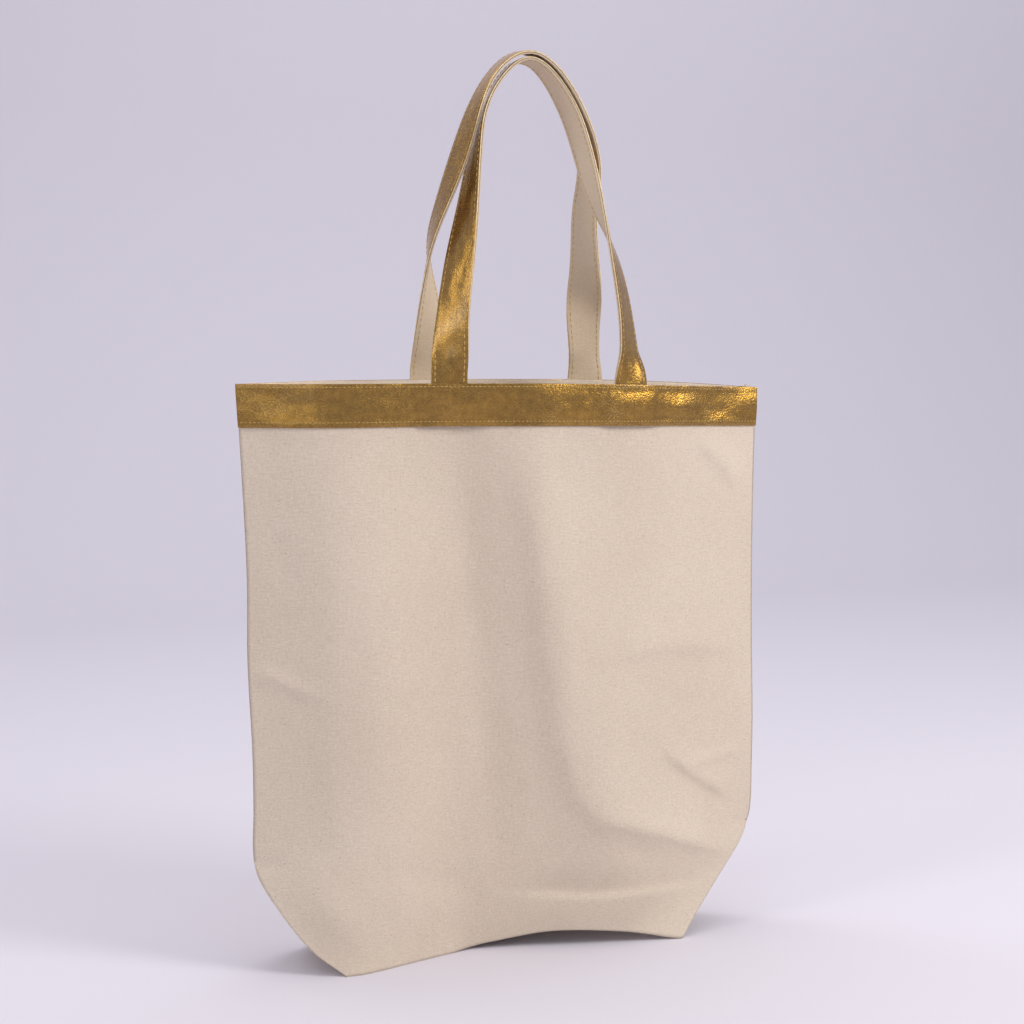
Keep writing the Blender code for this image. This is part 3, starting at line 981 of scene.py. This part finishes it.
@dataclass
class ClothPanel:
    """One canvas panel: face, bottom fold, half of the base, tucked corners, seam allowance and inner hem."""

    form: PanelForm
    other: PanelForm
    columns: int = 164
    upper_rows: int = 128
    lower_rows: int = 36
    base_steps: int = 6
    flat: tuple[float, float] = (0.390, 0.460)
    hem_height: float = 0.026
    hem_rise: float = 0.0005
    hem_reach: float = 0.93
    hem_grid: tuple[int, int] = (97, 7)
    hem_gap: float = 0.0004
    hem_roll: float = 0.0002
    hem_waves: float = 160.0
    hem_share: float = 0.9
    hem_flat_shift: float = 0.1
    seam: Array | None = None

    def build(self, wardrobe: Wardrobe) -> bpy.types.Object:
        """Args:
            wardrobe: the bag's finishes.

        Returns:
            The panel.
        """
        side, word = self.form.side.value, self.form.side.word
        across = np.linspace(-1, 1, self.columns + 1)
        heights = np.concatenate([
            np.linspace(0, SIZES.shoulder_height, self.lower_rows + 1),
            np.linspace(SIZES.shoulder_height, SIZES.rim_height, self.upper_rows + 1)[1:],
        ])
        a, h = (grid.ravel() for grid in np.meshgrid(across, heights, indexing="ij"))
        face = self.form.points(a, h)
        face[:, 2] += self.form.bottom_lift(a) * np.maximum(0.0, 1 - h / SIZES.lift_fade_height) ** 2
        face = face.reshape(len(across), len(heights), 3)
        flats = np.stack([a * self.flat[0] / 2, h], axis=1).reshape(len(across), len(heights), 2)
        sheet = laid_grid(face, flats)
        base, tucks = self.base(face, across)
        laid_grid(base, self.base_flats(base, across), sheet)
        for tuck in tucks:
            laid_grid(tuck, tuck[:, :, [0, 2]].copy(), sheet)
        allowance = self.allowance(face, base, tucks)
        laid_grid(allowance, allowance[:, :, [0, 2]].copy(), sheet)
        bmesh.ops.remove_doubles(sheet, verts=sheet.verts, dist=WELD_DISTANCE)
        middle = Vector(face[len(across) // 2, len(heights) // 2])
        thing = finished(
            word + "_cloth", sheet, [wardrobe.get(wardrobe.canvas)],
            (middle, Vector((0, side, 0))), SIZES.canvas, -1.0)
        hem = self.hem(wardrobe)
        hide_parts(word + "_panel")
        for piece in (thing, hem):
            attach(piece, Body.BAG.value)
        return thing

    def base(self, face: Array, across: Array) -> tuple[Array, list[Array]]:
        """Half of the bag's base and its tucked corners.

        Args:
            face: the face's points.
            across: places across of its columns.

        Returns:
            The base's points, and those of the left and right tuck.
        """
        side = self.form.side.value
        bottom = face[:, 0, :]
        flat = bottom - np.array([0, side * SIZES.base_fold_flat, 0])
        zero = np.zeros(len(across))
        mean = (self.form.depth(across, zero) + self.other.depth(across, zero)) / 2 - SIZES.base_fold_flat
        rise = np.sqrt(SIZES.base_panel_depth**2 - np.maximum(mean, 0) ** 2) - SIZES.base_slack
        seam = np.stack([bottom[:, 0] * SIZES.base_seam_share, zero + side * SIZES.gap / 2, rise], axis=1)
        rows = [bottom]
        for t in np.linspace(0, 1, self.base_steps + 1):
            row = flat + (seam - flat) * t
            row[:, 2] += SIZES.base_arch * 4 * t * (1 - t)
            rows.append(row)
        base = np.stack(rows, axis=1)
        tucks = []
        for end in (0, -1):
            fold = face[end, : self.lower_rows + 1, :]
            share = np.linspace(0, 1, self.lower_rows + 1)[:, None]
            inner = base[end, -1] + (fold[-1] - base[end, -1]) * share
            inner[:, 2] -= SIZES.tuck_sag * np.sin(np.pi * share[:, 0])
            grid = []
            for step in range(self.base_steps + 2):
                t = max(step - 1, 0) / self.base_steps
                line = fold + (inner - fold) * t
                line[:, 2] += SIZES.base_arch * 4 * t * (1 - t) * (1 - share[:, 0])
                if step:
                    line = line + (base[end, step] - line[0]) * (1 - share)
                grid.append(line)
            tucks.append(np.stack(grid, axis=0))
        return base, tucks

    def base_flats(self, base: Array, across: Array) -> Array:
        """Places of the base on the flat cut.

        Args:
            base: the base's points.
            across: places across of its columns.

        Returns:
            Flat places, below the face's.
        """
        u = np.repeat((across * self.flat[0] / 2)[:, None], base.shape[1], axis=1)
        v = np.repeat(-np.linspace(0, SIZES.base_panel_depth, base.shape[1])[None, :], base.shape[0], axis=0)
        return np.stack([u, v], axis=2)

    def allowance(self, face: Array, base: Array, tucks: list[Array]) -> Array:
        """The seam's allowance inside the bag, all the way round, which also sets the seam line.

        Args:
            face: the face's points.
            base: the base's points.
            tucks: the tucks' points.

        Returns:
            Its points, in two rows.
        """
        down = face[0, : self.lower_rows - 1 : -1, :]
        left = tucks[0][-1, -2:0:-1, :]
        right = tucks[1][-1, 1:, :]
        up = face[-1, self.lower_rows + 1 :, :]
        line = np.vstack([down, left, base[:, -1, :], right, up])
        self.seam = line
        inner = line + SIZES.seam_allowance * seam_inward(line)
        inner[:, 1] = self.form.side.value * SIZES.gap / 2
        inner[[0, -1], 2] = SIZES.rim_height
        return np.stack([line, inner], axis=1)

    def hem(self, wardrobe: Wardrobe) -> bpy.types.Object:
        """The turned-in hem that faces the inside of the mouth.

        Args:
            wardrobe: the bag's finishes.

        Returns:
            The hem.
        """
        columns, rows = self.hem_grid
        across = np.linspace(-self.hem_reach, self.hem_reach, columns)
        top = SIZES.rim_height
        heights = np.linspace(top - self.hem_height, top + self.hem_rise, rows)
        a, h = (grid.ravel() for grid in np.meshgrid(across, heights, indexing="ij"))
        below = ease(np.clip((top - h) / self.hem_height, 0, 1))
        roll = self.hem_roll * np.sin(a * self.hem_waves) * below
        spots = self.form.points(a, h, -(SIZES.canvas + self.hem_gap) - np.abs(roll))
        spots = spots.reshape(columns, rows, 3)
        flats = np.stack([a * self.flat[0] / 2, h + self.hem_flat_shift], axis=1).reshape(columns, rows, 2)
        word = self.form.side.word
        return finished(
            word + "_hem", laid_grid(spots, flats), [wardrobe.get(wardrobe.canvas)],
            (Vector(spots[columns // 2, rows // 2]), Vector((0, self.form.side.value, 0))),
            SIZES.canvas * self.hem_share, -1.0)


def natural_curve(stations: Array, steps: int) -> tuple[Array, Array]:
    """The smoothest cubic curve through evenly spaced stations.

    Args:
        stations: the stations' values, one row each.
        steps: how many steps the whole curve is cut into.

    Returns:
        Its points, and its directions at those points.
    """
    count = len(stations)
    matrix, right = np.eye(count), np.zeros_like(stations)
    for k in range(1, count - 1):
        matrix[k, k - 1 : k + 2] = (1, 4, 1)
        right[k] = 6 * (stations[k - 1] - 2 * stations[k] + stations[k + 1])
    bend = np.linalg.solve(matrix, right)
    at = np.linspace(0, count - 1, steps + 1)
    k = np.minimum(at.astype(int), count - 2)
    t = (at - k)[:, None]
    s = 1 - t
    a, b = stations[k], stations[k + 1]
    points = s * a + t * b + ((s**3 - s) * bend[k] + (t**3 - t) * bend[k + 1]) / 6
    slopes = b - a + ((1 - 3 * s * s) * bend[k] + (3 * t * t - 1) * bend[k + 1]) / 6
    return points, slopes


@dataclass
class StrapHandle:
    """One strap: a gold face stitched to a canvas back, sewn in behind the mouth band at both ends."""

    form: PanelForm
    body: Body
    route: tuple[tuple[float, float, float, float], ...]
    steps: int = 300
    cross: int = 10
    tail_rows: int = 26
    crown: float = 0.00035
    turn_length: float = 0.022
    settle: float = 0.026
    blend_span: tuple[float, float] = (0.0010, 0.0270)
    edge_round: float = 0.0002
    stitch: StitchSize = StitchSize(pitch=0.0042, length=0.0033, width=0.00075, height=0.0005)
    stitch_lift: float = 0.00008
    stitch_clear: float = 0.001
    middles: Array | None = None
    faces: Array | None = None
    run: Array | None = None

    @property
    def ends(self) -> tuple[float, float]:
        """Where the strap's two ends are sewn in, along x."""
        points, _ = natural_curve(self.stations, self.steps)
        above = points[points[:, 2] > SIZES.rim_height + SIZES.strap_end_rise]
        return float(above[0, 0]), float(above[-1, 0])

    @property
    def stations(self) -> Array:
        """The route's stations, with the twist in radians."""
        return np.array([(x, y, z, math.radians(twist)) for x, y, z, twist in self.route])

    def lay(self) -> None:
        """Work out the strap's middle surface and the way that its face looks, row by row."""
        points, slopes = natural_curve(self.stations, self.steps)
        start = SIZES.rim_height + SIZES.strap_end_rise
        keep = np.flatnonzero(points[:, 2] > start)
        places = np.linspace(-1, 1, self.cross + 1) * SIZES.strap_width / 2
        rows, ways = [], []
        for k in keep:
            centre, across, face = self.frame_at(points[k], slopes[k], start)
            row = centre + places[:, None] * across
            way = np.repeat(face[None, :], len(places), axis=0)
            share = self.freed(float(points[k][2]))
            if share < 1:
                sign = 1.0 if across[0] > 0 else -1.0
                sewn, out = self.sewn(centre[0] + sign * places)
                row[:, :2] = sewn[:, :2] + (row[:, :2] - sewn[:, :2]) * share
                way = out + (way - out) * share
                way = way / np.linalg.norm(way, axis=1)[:, None]
            rows.append(row)
            ways.append(way)
        first = self.tail(points[keep[0]], slopes[keep[0]], start, places)
        last = self.tail(points[keep[-1]], slopes[keep[-1]], start, places)
        self.middles = np.array(first[0] + rows + last[0][::-1])
        self.faces = np.array(first[1] + ways + last[1][::-1])
        bend = (places / (SIZES.strap_width / 2)) ** 2
        self.middles = self.middles - self.faces * (self.crown * bend)[None, :, None]
        step = np.linalg.norm(np.diff(self.middles[:, self.cross // 2], axis=0), axis=1)
        self.run = np.concatenate([[0.0], np.cumsum(step)])

    def freed(self, height: float) -> float:
        """How far the strap has turned from lying flat on the panel to its own twist.

        Args:
            height: a height.

        Returns:
            0 at the band's upper edge, 1 where it is free.
        """
        clear = SIZES.band_top + SIZES.gap
        return float(ease(np.clip((height - clear) / self.settle, 0, 1)))

    def sewn(self, x: Array, height: float = SIZES.rim_height) -> tuple[Array, Array]:
        """Where the strap lies flat on the panel.

        Args:
            x: places along the bag's width.
            height: their height.

        Returns:
            The points of its middle surface and the panel's direction there.
        """
        level = np.full(len(x), min(height, SIZES.rim_height))
        at = self.form.across_at(x, level)
        out = SIZES.gap + SIZES.strap_thickness / 2
        return self.form.points(at, level, out), self.form.normals(at, level)

    def frame_at(self, point: Array, slope: Array, start: float) -> tuple[Array, Array, Array]:
        """Centre and directions of the strap at one place of its route.

        Args:
            point: x, y, z and twist.
            slope: how they change.
            start: height where the strap leaves its sewn-in end.

        Returns:
            The centre, and the directions across the strap and out of its face.
        """
        along = slope[:3] / np.linalg.norm(slope[:3])
        upright = np.array([0, 0, 1.0 if along[2] > 0 else -1.0])
        share = float(ease(np.clip((point[2] - start) / self.turn_length, 0, 1)))
        along = upright + (along - upright) * share
        along = along / np.linalg.norm(along)
        level = np.array([0.0, 1.0, 0.0])
        level = level - along * along[1]
        level = level / np.linalg.norm(level)
        out = np.cross(along, level)
        across = math.cos(point[3]) * level + math.sin(point[3]) * out
        face = math.cos(point[3]) * out - math.sin(point[3]) * level
        return point[:3], across, face

    def tail(
        self, point: Array, slope: Array, start: float, places: Array,
    ) -> tuple[list[Array], list[Array]]:
        """The sewn-in end, from behind the band up to where the strap is free.

        Args:
            point: the route's first place above that.
            slope: how it changes there.
            start: height where the strap is free.
            places: places across the strap.

        Returns:
            Its rows of points and of face directions, from the bottom up.
        """
        centre, across, face = self.frame_at(np.array([*point[:2], start, point[3]]), slope, start)
        sign = 1.0 if across[0] > 0 else -1.0
        x = centre[0] + sign * places
        bottom = SIZES.band_bottom + SIZES.strap_tail_inset
        rows, ways = [], []
        for height in np.linspace(bottom, start, self.tail_rows, endpoint=False):
            sewn, out = self.sewn(x, height)
            share = self.freed(height)
            top = centre + places[:, None] * across
            row = sewn + (top - sewn) * share
            row[:, 2] = height
            way = out + (face - out) * share
            rows.append(row)
            ways.append(way / np.linalg.norm(way, axis=1)[:, None])
        return rows, ways

    def build(self, wardrobe: Wardrobe) -> list[bpy.types.Object]:
        """Make the strap's face, back and stitches.

        Args:
            wardrobe: the bag's finishes.

        Returns:
            The pieces.
        """
        self.lay()
        word = self.form.side.word
        half = SIZES.strap_thickness / 2
        places = np.linspace(-1, 1, self.cross + 1) * SIZES.strap_width / 2
        u = np.repeat(places[None, :], len(self.run), axis=0)
        v = np.repeat(self.run[:, None], self.cross + 1, axis=1)
        flats = np.stack([u, v], axis=2)
        middle = len(self.run) // 2
        spot, way = Vector(self.middles[middle, self.cross // 2]), Vector(self.faces[middle, 0])
        leather = [wardrobe.get(wardrobe.leatherette), wardrobe.get(wardrobe.cut_edge)]
        under_face = self.middles + self.faces * (SIZES.strap_backing + SIZES.gap - half)
        under_back = self.middles - self.faces * half
        face = finished(
            word + "_strap_leather", laid_grid(under_face, flats), leather,
            (spot, way), SIZES.strap_face, 1.0, self.edge_round)
        back = finished(
            word + "_strap_webbing", laid_grid(under_back, flats), [wardrobe.get(wardrobe.strap_canvas)],
            (spot, way), SIZES.strap_backing, 1.0, self.edge_round)
        near, far = self.sew(word, wardrobe)
        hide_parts(word + "_strap_face", word + "_left_strap_end", word + "_right_strap_end")
        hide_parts(word + "_strap_backing")
        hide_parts(word + "_strap_near_stitching")
        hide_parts(word + "_strap_far_stitching")
        pieces = [face, back, near, far]
        for piece in pieces:
            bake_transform(piece)
        return pieces

    def sew(self, word: str, wardrobe: Wardrobe) -> tuple[bpy.types.Object, bpy.types.Object]:
        """The two rows of stitches, seen on both faces of the strap.

        Args:
            word: the side's name.
            wardrobe: the bag's finishes.

        Returns:
            The row along the strap's near edge, and the one along its far edge.
        """
        made = []
        share = (SIZES.strap_width / 2 - SIZES.stitch_inset_strap) / (SIZES.strap_width / 2)
        for label, t in (("near", (1 - share) / 2), ("far", (1 + share) / 2)):
            at = t * self.cross
            low = int(at)
            line = self.middles[:, low] * (1 - at + low) + self.middles[:, low + 1] * (at - low)
            way = self.faces[:, low] * (1 - at + low) + self.faces[:, low + 1] * (at - low)
            sheet = bmesh.new()
            above = line[:, 2] > SIZES.band_top + self.stitch_clear
            for sign in (1, -1):
                lift = SIZES.strap_thickness / 2 + self.stitch_lift
                stitch_row(sheet, (line + sign * way * lift)[above], (sign * way)[above], self.stitch)
            thread = [wardrobe.get(wardrobe.gold_thread)]
            made.append(finished(f"{word}_strap_{label}_stitches", sheet, thread))
        return made[0], made[1]


@dataclass
class MouthBand:
    """The gold band on one panel's mouth, with its two rows of stitches."""

    form: PanelForm
    columns: int = 300
    rows: int = 8
    pucker: float = 0.00022
    pucker_base: float = 1.5
    soft_share: float = 1.6
    soft_noise: tuple[float, float, float] = (14, 60, 3.1)
    ripple_noise: tuple[float, float, float] = (62, 120, 8.4)
    seam_margin: float = 0.003
    edge_round: float = 0.00035
    row_reach: float = 0.995
    row_points: int = 900
    stitch_lift: float = 0.0001
    wrap: float = 0.008

    def lift(self, across: Array) -> Array:
        """Distance of the band's inner face from the canvas, more over the straps' sewn-in ends.

        Args:
            across: places from -1 to 1.

        Returns:
            Distances.
        """
        middle, half = self.form.outline(np.full(len(across), SIZES.rim_height))
        return SIZES.gap + (SIZES.strap_thickness + SIZES.gap) * self.form.over_straps(middle + across * half)

    def surface(self, across: Array, height: Array, above: float) -> Array:
        """Points over the band's inner face.

        Args:
            across: places from -1 to 1.
            height: heights, one for each place.
            above: distance over the inner face.

        Returns:
            Positions, shape (n, 3).
        """
        level = np.minimum(height, SIZES.rim_height)
        middle = (SIZES.band_top + SIZES.band_bottom) / 2
        free = SIZES.band_height / 2 - self.seam_margin
        belly = 1 - np.clip(np.abs(height - middle) / free, 0, 1) ** 2
        soft, ripple = (
            np.array([noise.noise(Vector((a * x, h * z, seed))) for a, h in zip(across, height)])
            for x, z, seed in (self.soft_noise, self.ripple_noise))
        puff = self.pucker * (self.pucker_base + soft * self.soft_share + ripple) * belly
        spots = self.form.points(across, level, self.lift(across) + above + np.maximum(puff, 0))
        spots[:, 2] = height + self.form.rise(across, height)
        side = self.form.side.value
        spots[:, 1] = side * np.maximum(spots[:, 1] * side, SIZES.gap / 2)
        return spots

    def build(self, wardrobe: Wardrobe) -> list[bpy.types.Object]:
        """Make the band and its stitches.

        Args:
            wardrobe: the bag's finishes.

        Returns:
            The pieces.
        """
        word = self.form.side.word
        across = np.linspace(-1, 1, self.columns + 1)
        heights = np.linspace(SIZES.band_bottom, SIZES.band_top, self.rows + 1)
        a, h = (grid.ravel() for grid in np.meshgrid(across, heights, indexing="ij"))
        spots = self.surface(a, h, 0.0).reshape(len(across), len(heights), 3)
        flats = np.stack([a * SIZES.rim_half_width, h], axis=1).reshape(len(across), len(heights), 2)
        band = finished(
            word + "_mouth_band", laid_grid(spots, flats), [wardrobe.get(wardrobe.band_foil)],
            (Vector(spots[len(across) // 2, self.rows // 2]), Vector((0, self.form.side.value, 0))),
            SIZES.band_thickness, 1.0, self.edge_round)
        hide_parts(word + "_band")
        pieces = [band]
        for label, height in (
            ("top", SIZES.band_top - SIZES.stitch_inset_top),
            ("bottom", SIZES.band_bottom + SIZES.stitch_inset_bottom),
        ):
            fine = np.linspace(-self.row_reach, self.row_reach, self.row_points)
            level = np.full(len(fine), height)
            line = self.surface(fine, level, SIZES.band_thickness + self.stitch_lift)
            outs = self.form.normals(fine, np.minimum(level, SIZES.rim_height))
            sheet = bmesh.new()
            stitch_row(sheet, line, outs, StitchSize())
            thread = [wardrobe.get(wardrobe.band_thread)]
            row = finished(f"{word}_band_{label}_stitches", sheet, thread)
            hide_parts(f"{word}_band_{label}_stitching")
            pieces.append(row)
        for piece in pieces:
            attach(piece, Body.BAG.value)
        return pieces


@dataclass
class SeamThread:
    """The stitches that join the two panels down the sides and across the base."""

    seam: Array
    clearance: float = -0.0005
    band_clear: float = 0.0015
    size: StitchSize = StitchSize(pitch=0.0036, length=0.0026, width=0.0005, height=0.0009)

    def build(self, wardrobe: Wardrobe) -> bpy.types.Object:
        """Make the stitches.

        Args:
            wardrobe: the bag's finishes.

        Returns:
            The row.
        """
        line = self.seam - self.clearance * seam_inward(self.seam)
        line[:, 1] = 0.0
        line = line[line[:, 2] < SIZES.band_bottom - self.band_clear]
        sheet = bmesh.new()
        outs = np.repeat(np.array([[0.0, -1.0, 0.0]]), len(line), axis=0)
        count = stitch_row(sheet, line, outs, self.size)
        thread = [wardrobe.get(wardrobe.ecru_thread)]
        thing = finished("seam_stitches", sheet, thread)
        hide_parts("body_seam_thread")
        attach(thing, Body.BAG.value)
        LOG.info("seam: %d stitches", count)
        return thing


# ---------------------------------------------------------------- studio


@dataclass(frozen=True)
class Lamp:
    """A soft rectangular light that looks at a point."""

    name: str
    place: tuple[float, float, float]
    size: tuple[float, float]
    power: float
    colour: Colour = (1.0, 1.0, 1.0)
    target: tuple[float, float, float] = (0.0, 0.0, 0.28)

    def build(self) -> None:
        """Make the light."""
        data = bpy.data.lights.new(self.name, "AREA")
        data.shape = "RECTANGLE"
        data.size, data.size_y = self.size
        data.energy, data.color = self.power, self.colour
        thing = bpy.data.objects.new(self.name, data)
        bpy.context.scene.collection.objects.link(thing)
        thing.location = self.place
        away = Vector(self.place) - Vector(self.target)
        thing.rotation_euler = away.to_track_quat("Z", "Y").to_euler()


@dataclass
class Studio:
    """The pale sweep, the lights, the world and the camera."""

    half_width: float = 4.0
    front: float = -3.0
    back: float = 1.6
    corner: float = 0.9
    corner_steps: int = 12
    height: float = 3.2
    camera_place: tuple[float, float, float] = (-0.4066, -1.1948, 0.4204)
    camera_pitch: float = 84.834
    camera_turn: float = -19.0
    lens: float = 63.9
    sky: Colour = (0.78, 0.76, 0.84)
    sky_strength: float = 0.72
    lamps: tuple[Lamp, ...] = (
        Lamp("key", (1.20, -1.00, 1.15), (0.6, 0.6), 15.2, (1.0, 0.975, 0.94)),
        Lamp("strip", (-1.15, -0.35, 1.15), (0.25, 1.1), 3.5, (1.0, 0.98, 0.95)),
        Lamp("fill", (-1.10, -1.50, 1.00), (0.7, 0.7), 1.9, (1.0, 0.985, 0.97)),
        Lamp("rim", (-0.95, 1.15, 1.85), (0.9, 0.7), 5.0, (1.0, 0.985, 0.96), (0.0, 0.0, 0.5)),
        Lamp("top", (0.1, 0.2, 1.9), (1.3, 1.0), 6.2),
        Lamp("wall", (1.1, 1.0, 2.5), (2.4, 0.8), 11.0, (0.99, 0.98, 1.0), (1.6, 2.6, 0.8)),
    )

    def build(self) -> None:
        """Set the bag's surroundings."""
        profile = [(self.front, 0.0), (self.back, 0.0)]
        for k in range(1, self.corner_steps + 1):
            turn = math.pi / 2 * k / self.corner_steps
            depth, rise = self.corner * math.sin(turn), self.corner * (1 - math.cos(turn))
            profile.append((self.back + depth, rise))
        profile.append((self.back + self.corner, self.height))
        sheet = bmesh.new()
        left = [sheet.verts.new((-self.half_width, y, z)) for y, z in profile]
        edges = [sheet.edges.new(pair) for pair in zip(left, left[1:])]
        swept = bmesh.ops.extrude_edge_only(sheet, edges=edges)["geom"]
        verts = [item for item in swept if isinstance(item, bmesh.types.BMVert)]
        bmesh.ops.translate(sheet, verts=verts, vec=(2 * self.half_width, 0, 0))
        mesh = bpy.data.meshes.new("sweep")
        sheet.to_mesh(mesh)
        sheet.free()
        mesh.shade_smooth()
        mesh.materials.append(FloorFinish().build())
        sweep = bpy.data.objects.new("sweep", mesh)
        bpy.context.scene.collection.objects.link(sweep)
        for lamp in self.lamps:
            lamp.build()
        world = bpy.data.worlds.new("studio")
        world.use_nodes = True
        background = world.node_tree.nodes["Background"]
        background.inputs["Color"].default_value = (*self.sky, 1.0)
        background.inputs["Strength"].default_value = self.sky_strength
        bpy.context.scene.world = world
        bpy.context.scene.view_settings.view_transform = "Standard"
        data = bpy.data.cameras.new("camera")
        data.lens = self.lens
        camera = bpy.data.objects.new("camera", data)
        bpy.context.scene.collection.objects.link(camera)
        camera.location = self.camera_place
        camera.rotation_euler = (math.radians(self.camera_pitch), 0.0, math.radians(self.camera_turn))
        bpy.context.scene.camera = camera


FRONT_ROUTE = (
    (-0.0490, -0.0265, 0.394, 94), (-0.0455, -0.0215, 0.432, 48), (-0.0385, -0.0150, 0.474, 34),
    (-0.0305, -0.0090, 0.514, 17), (-0.0230, -0.0035, 0.555, 1), (-0.0118, -0.0005, 0.591, -8),
    (0.0150, 0.0005, 0.6167, 1), (0.0432, 0.0010, 0.5905, -7), (0.0560, -0.0025, 0.5555, -8),
    (0.0630, -0.0120, 0.521, 2), (0.0740, -0.0185, 0.481, 31), (0.0800, -0.0260, 0.436, 43),
    (0.0805, -0.0330, 0.394, 60),
)
BACK_ROUTE = (
    (-0.0495, 0.0280, 0.394, -93), (-0.0485, 0.0215, 0.439, -60), (-0.0512, 0.0140, 0.4825, -15),
    (-0.0438, 0.0075, 0.517, 5), (-0.0297, 0.0025, 0.559, 12), (-0.0130, -0.0005, 0.6020, 1),
    (0.0170, -0.0010, 0.6215, 7), (0.0460, -0.0005, 0.595, -2), (0.0630, 0.0035, 0.5505, -15),
    (0.0640, 0.0135, 0.5155, -21), (0.0665, 0.0195, 0.473, -38), (0.0680, 0.0265, 0.4395, -89),
    (0.0720, 0.0325, 0.394, -107),
)


def main() -> None:
    """Dress the frame: panels, handles, bands, seam, then the studio."""
    logging.basicConfig(level=logging.INFO, format="%(message)s")
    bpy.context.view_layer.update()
    wardrobe = Wardrobe()
    handles = [
        StrapHandle(FRONT, Body.FRONT_HANDLE, FRONT_ROUTE),
        StrapHandle(BACK, Body.BACK_HANDLE, BACK_ROUTE),
    ]
    for handle in handles:
        handle.form.ends = handle.ends
    front = ClothPanel(FRONT, BACK)
    back = ClothPanel(BACK, FRONT)
    front.build(wardrobe)
    back.build(wardrobe)
    for handle in handles:
        handle.build(wardrobe)
        MouthBand(handle.form).build(wardrobe)
    SeamThread(front.seam).build(wardrobe)
    Studio().build()


if __name__ == "__main__":
    main()
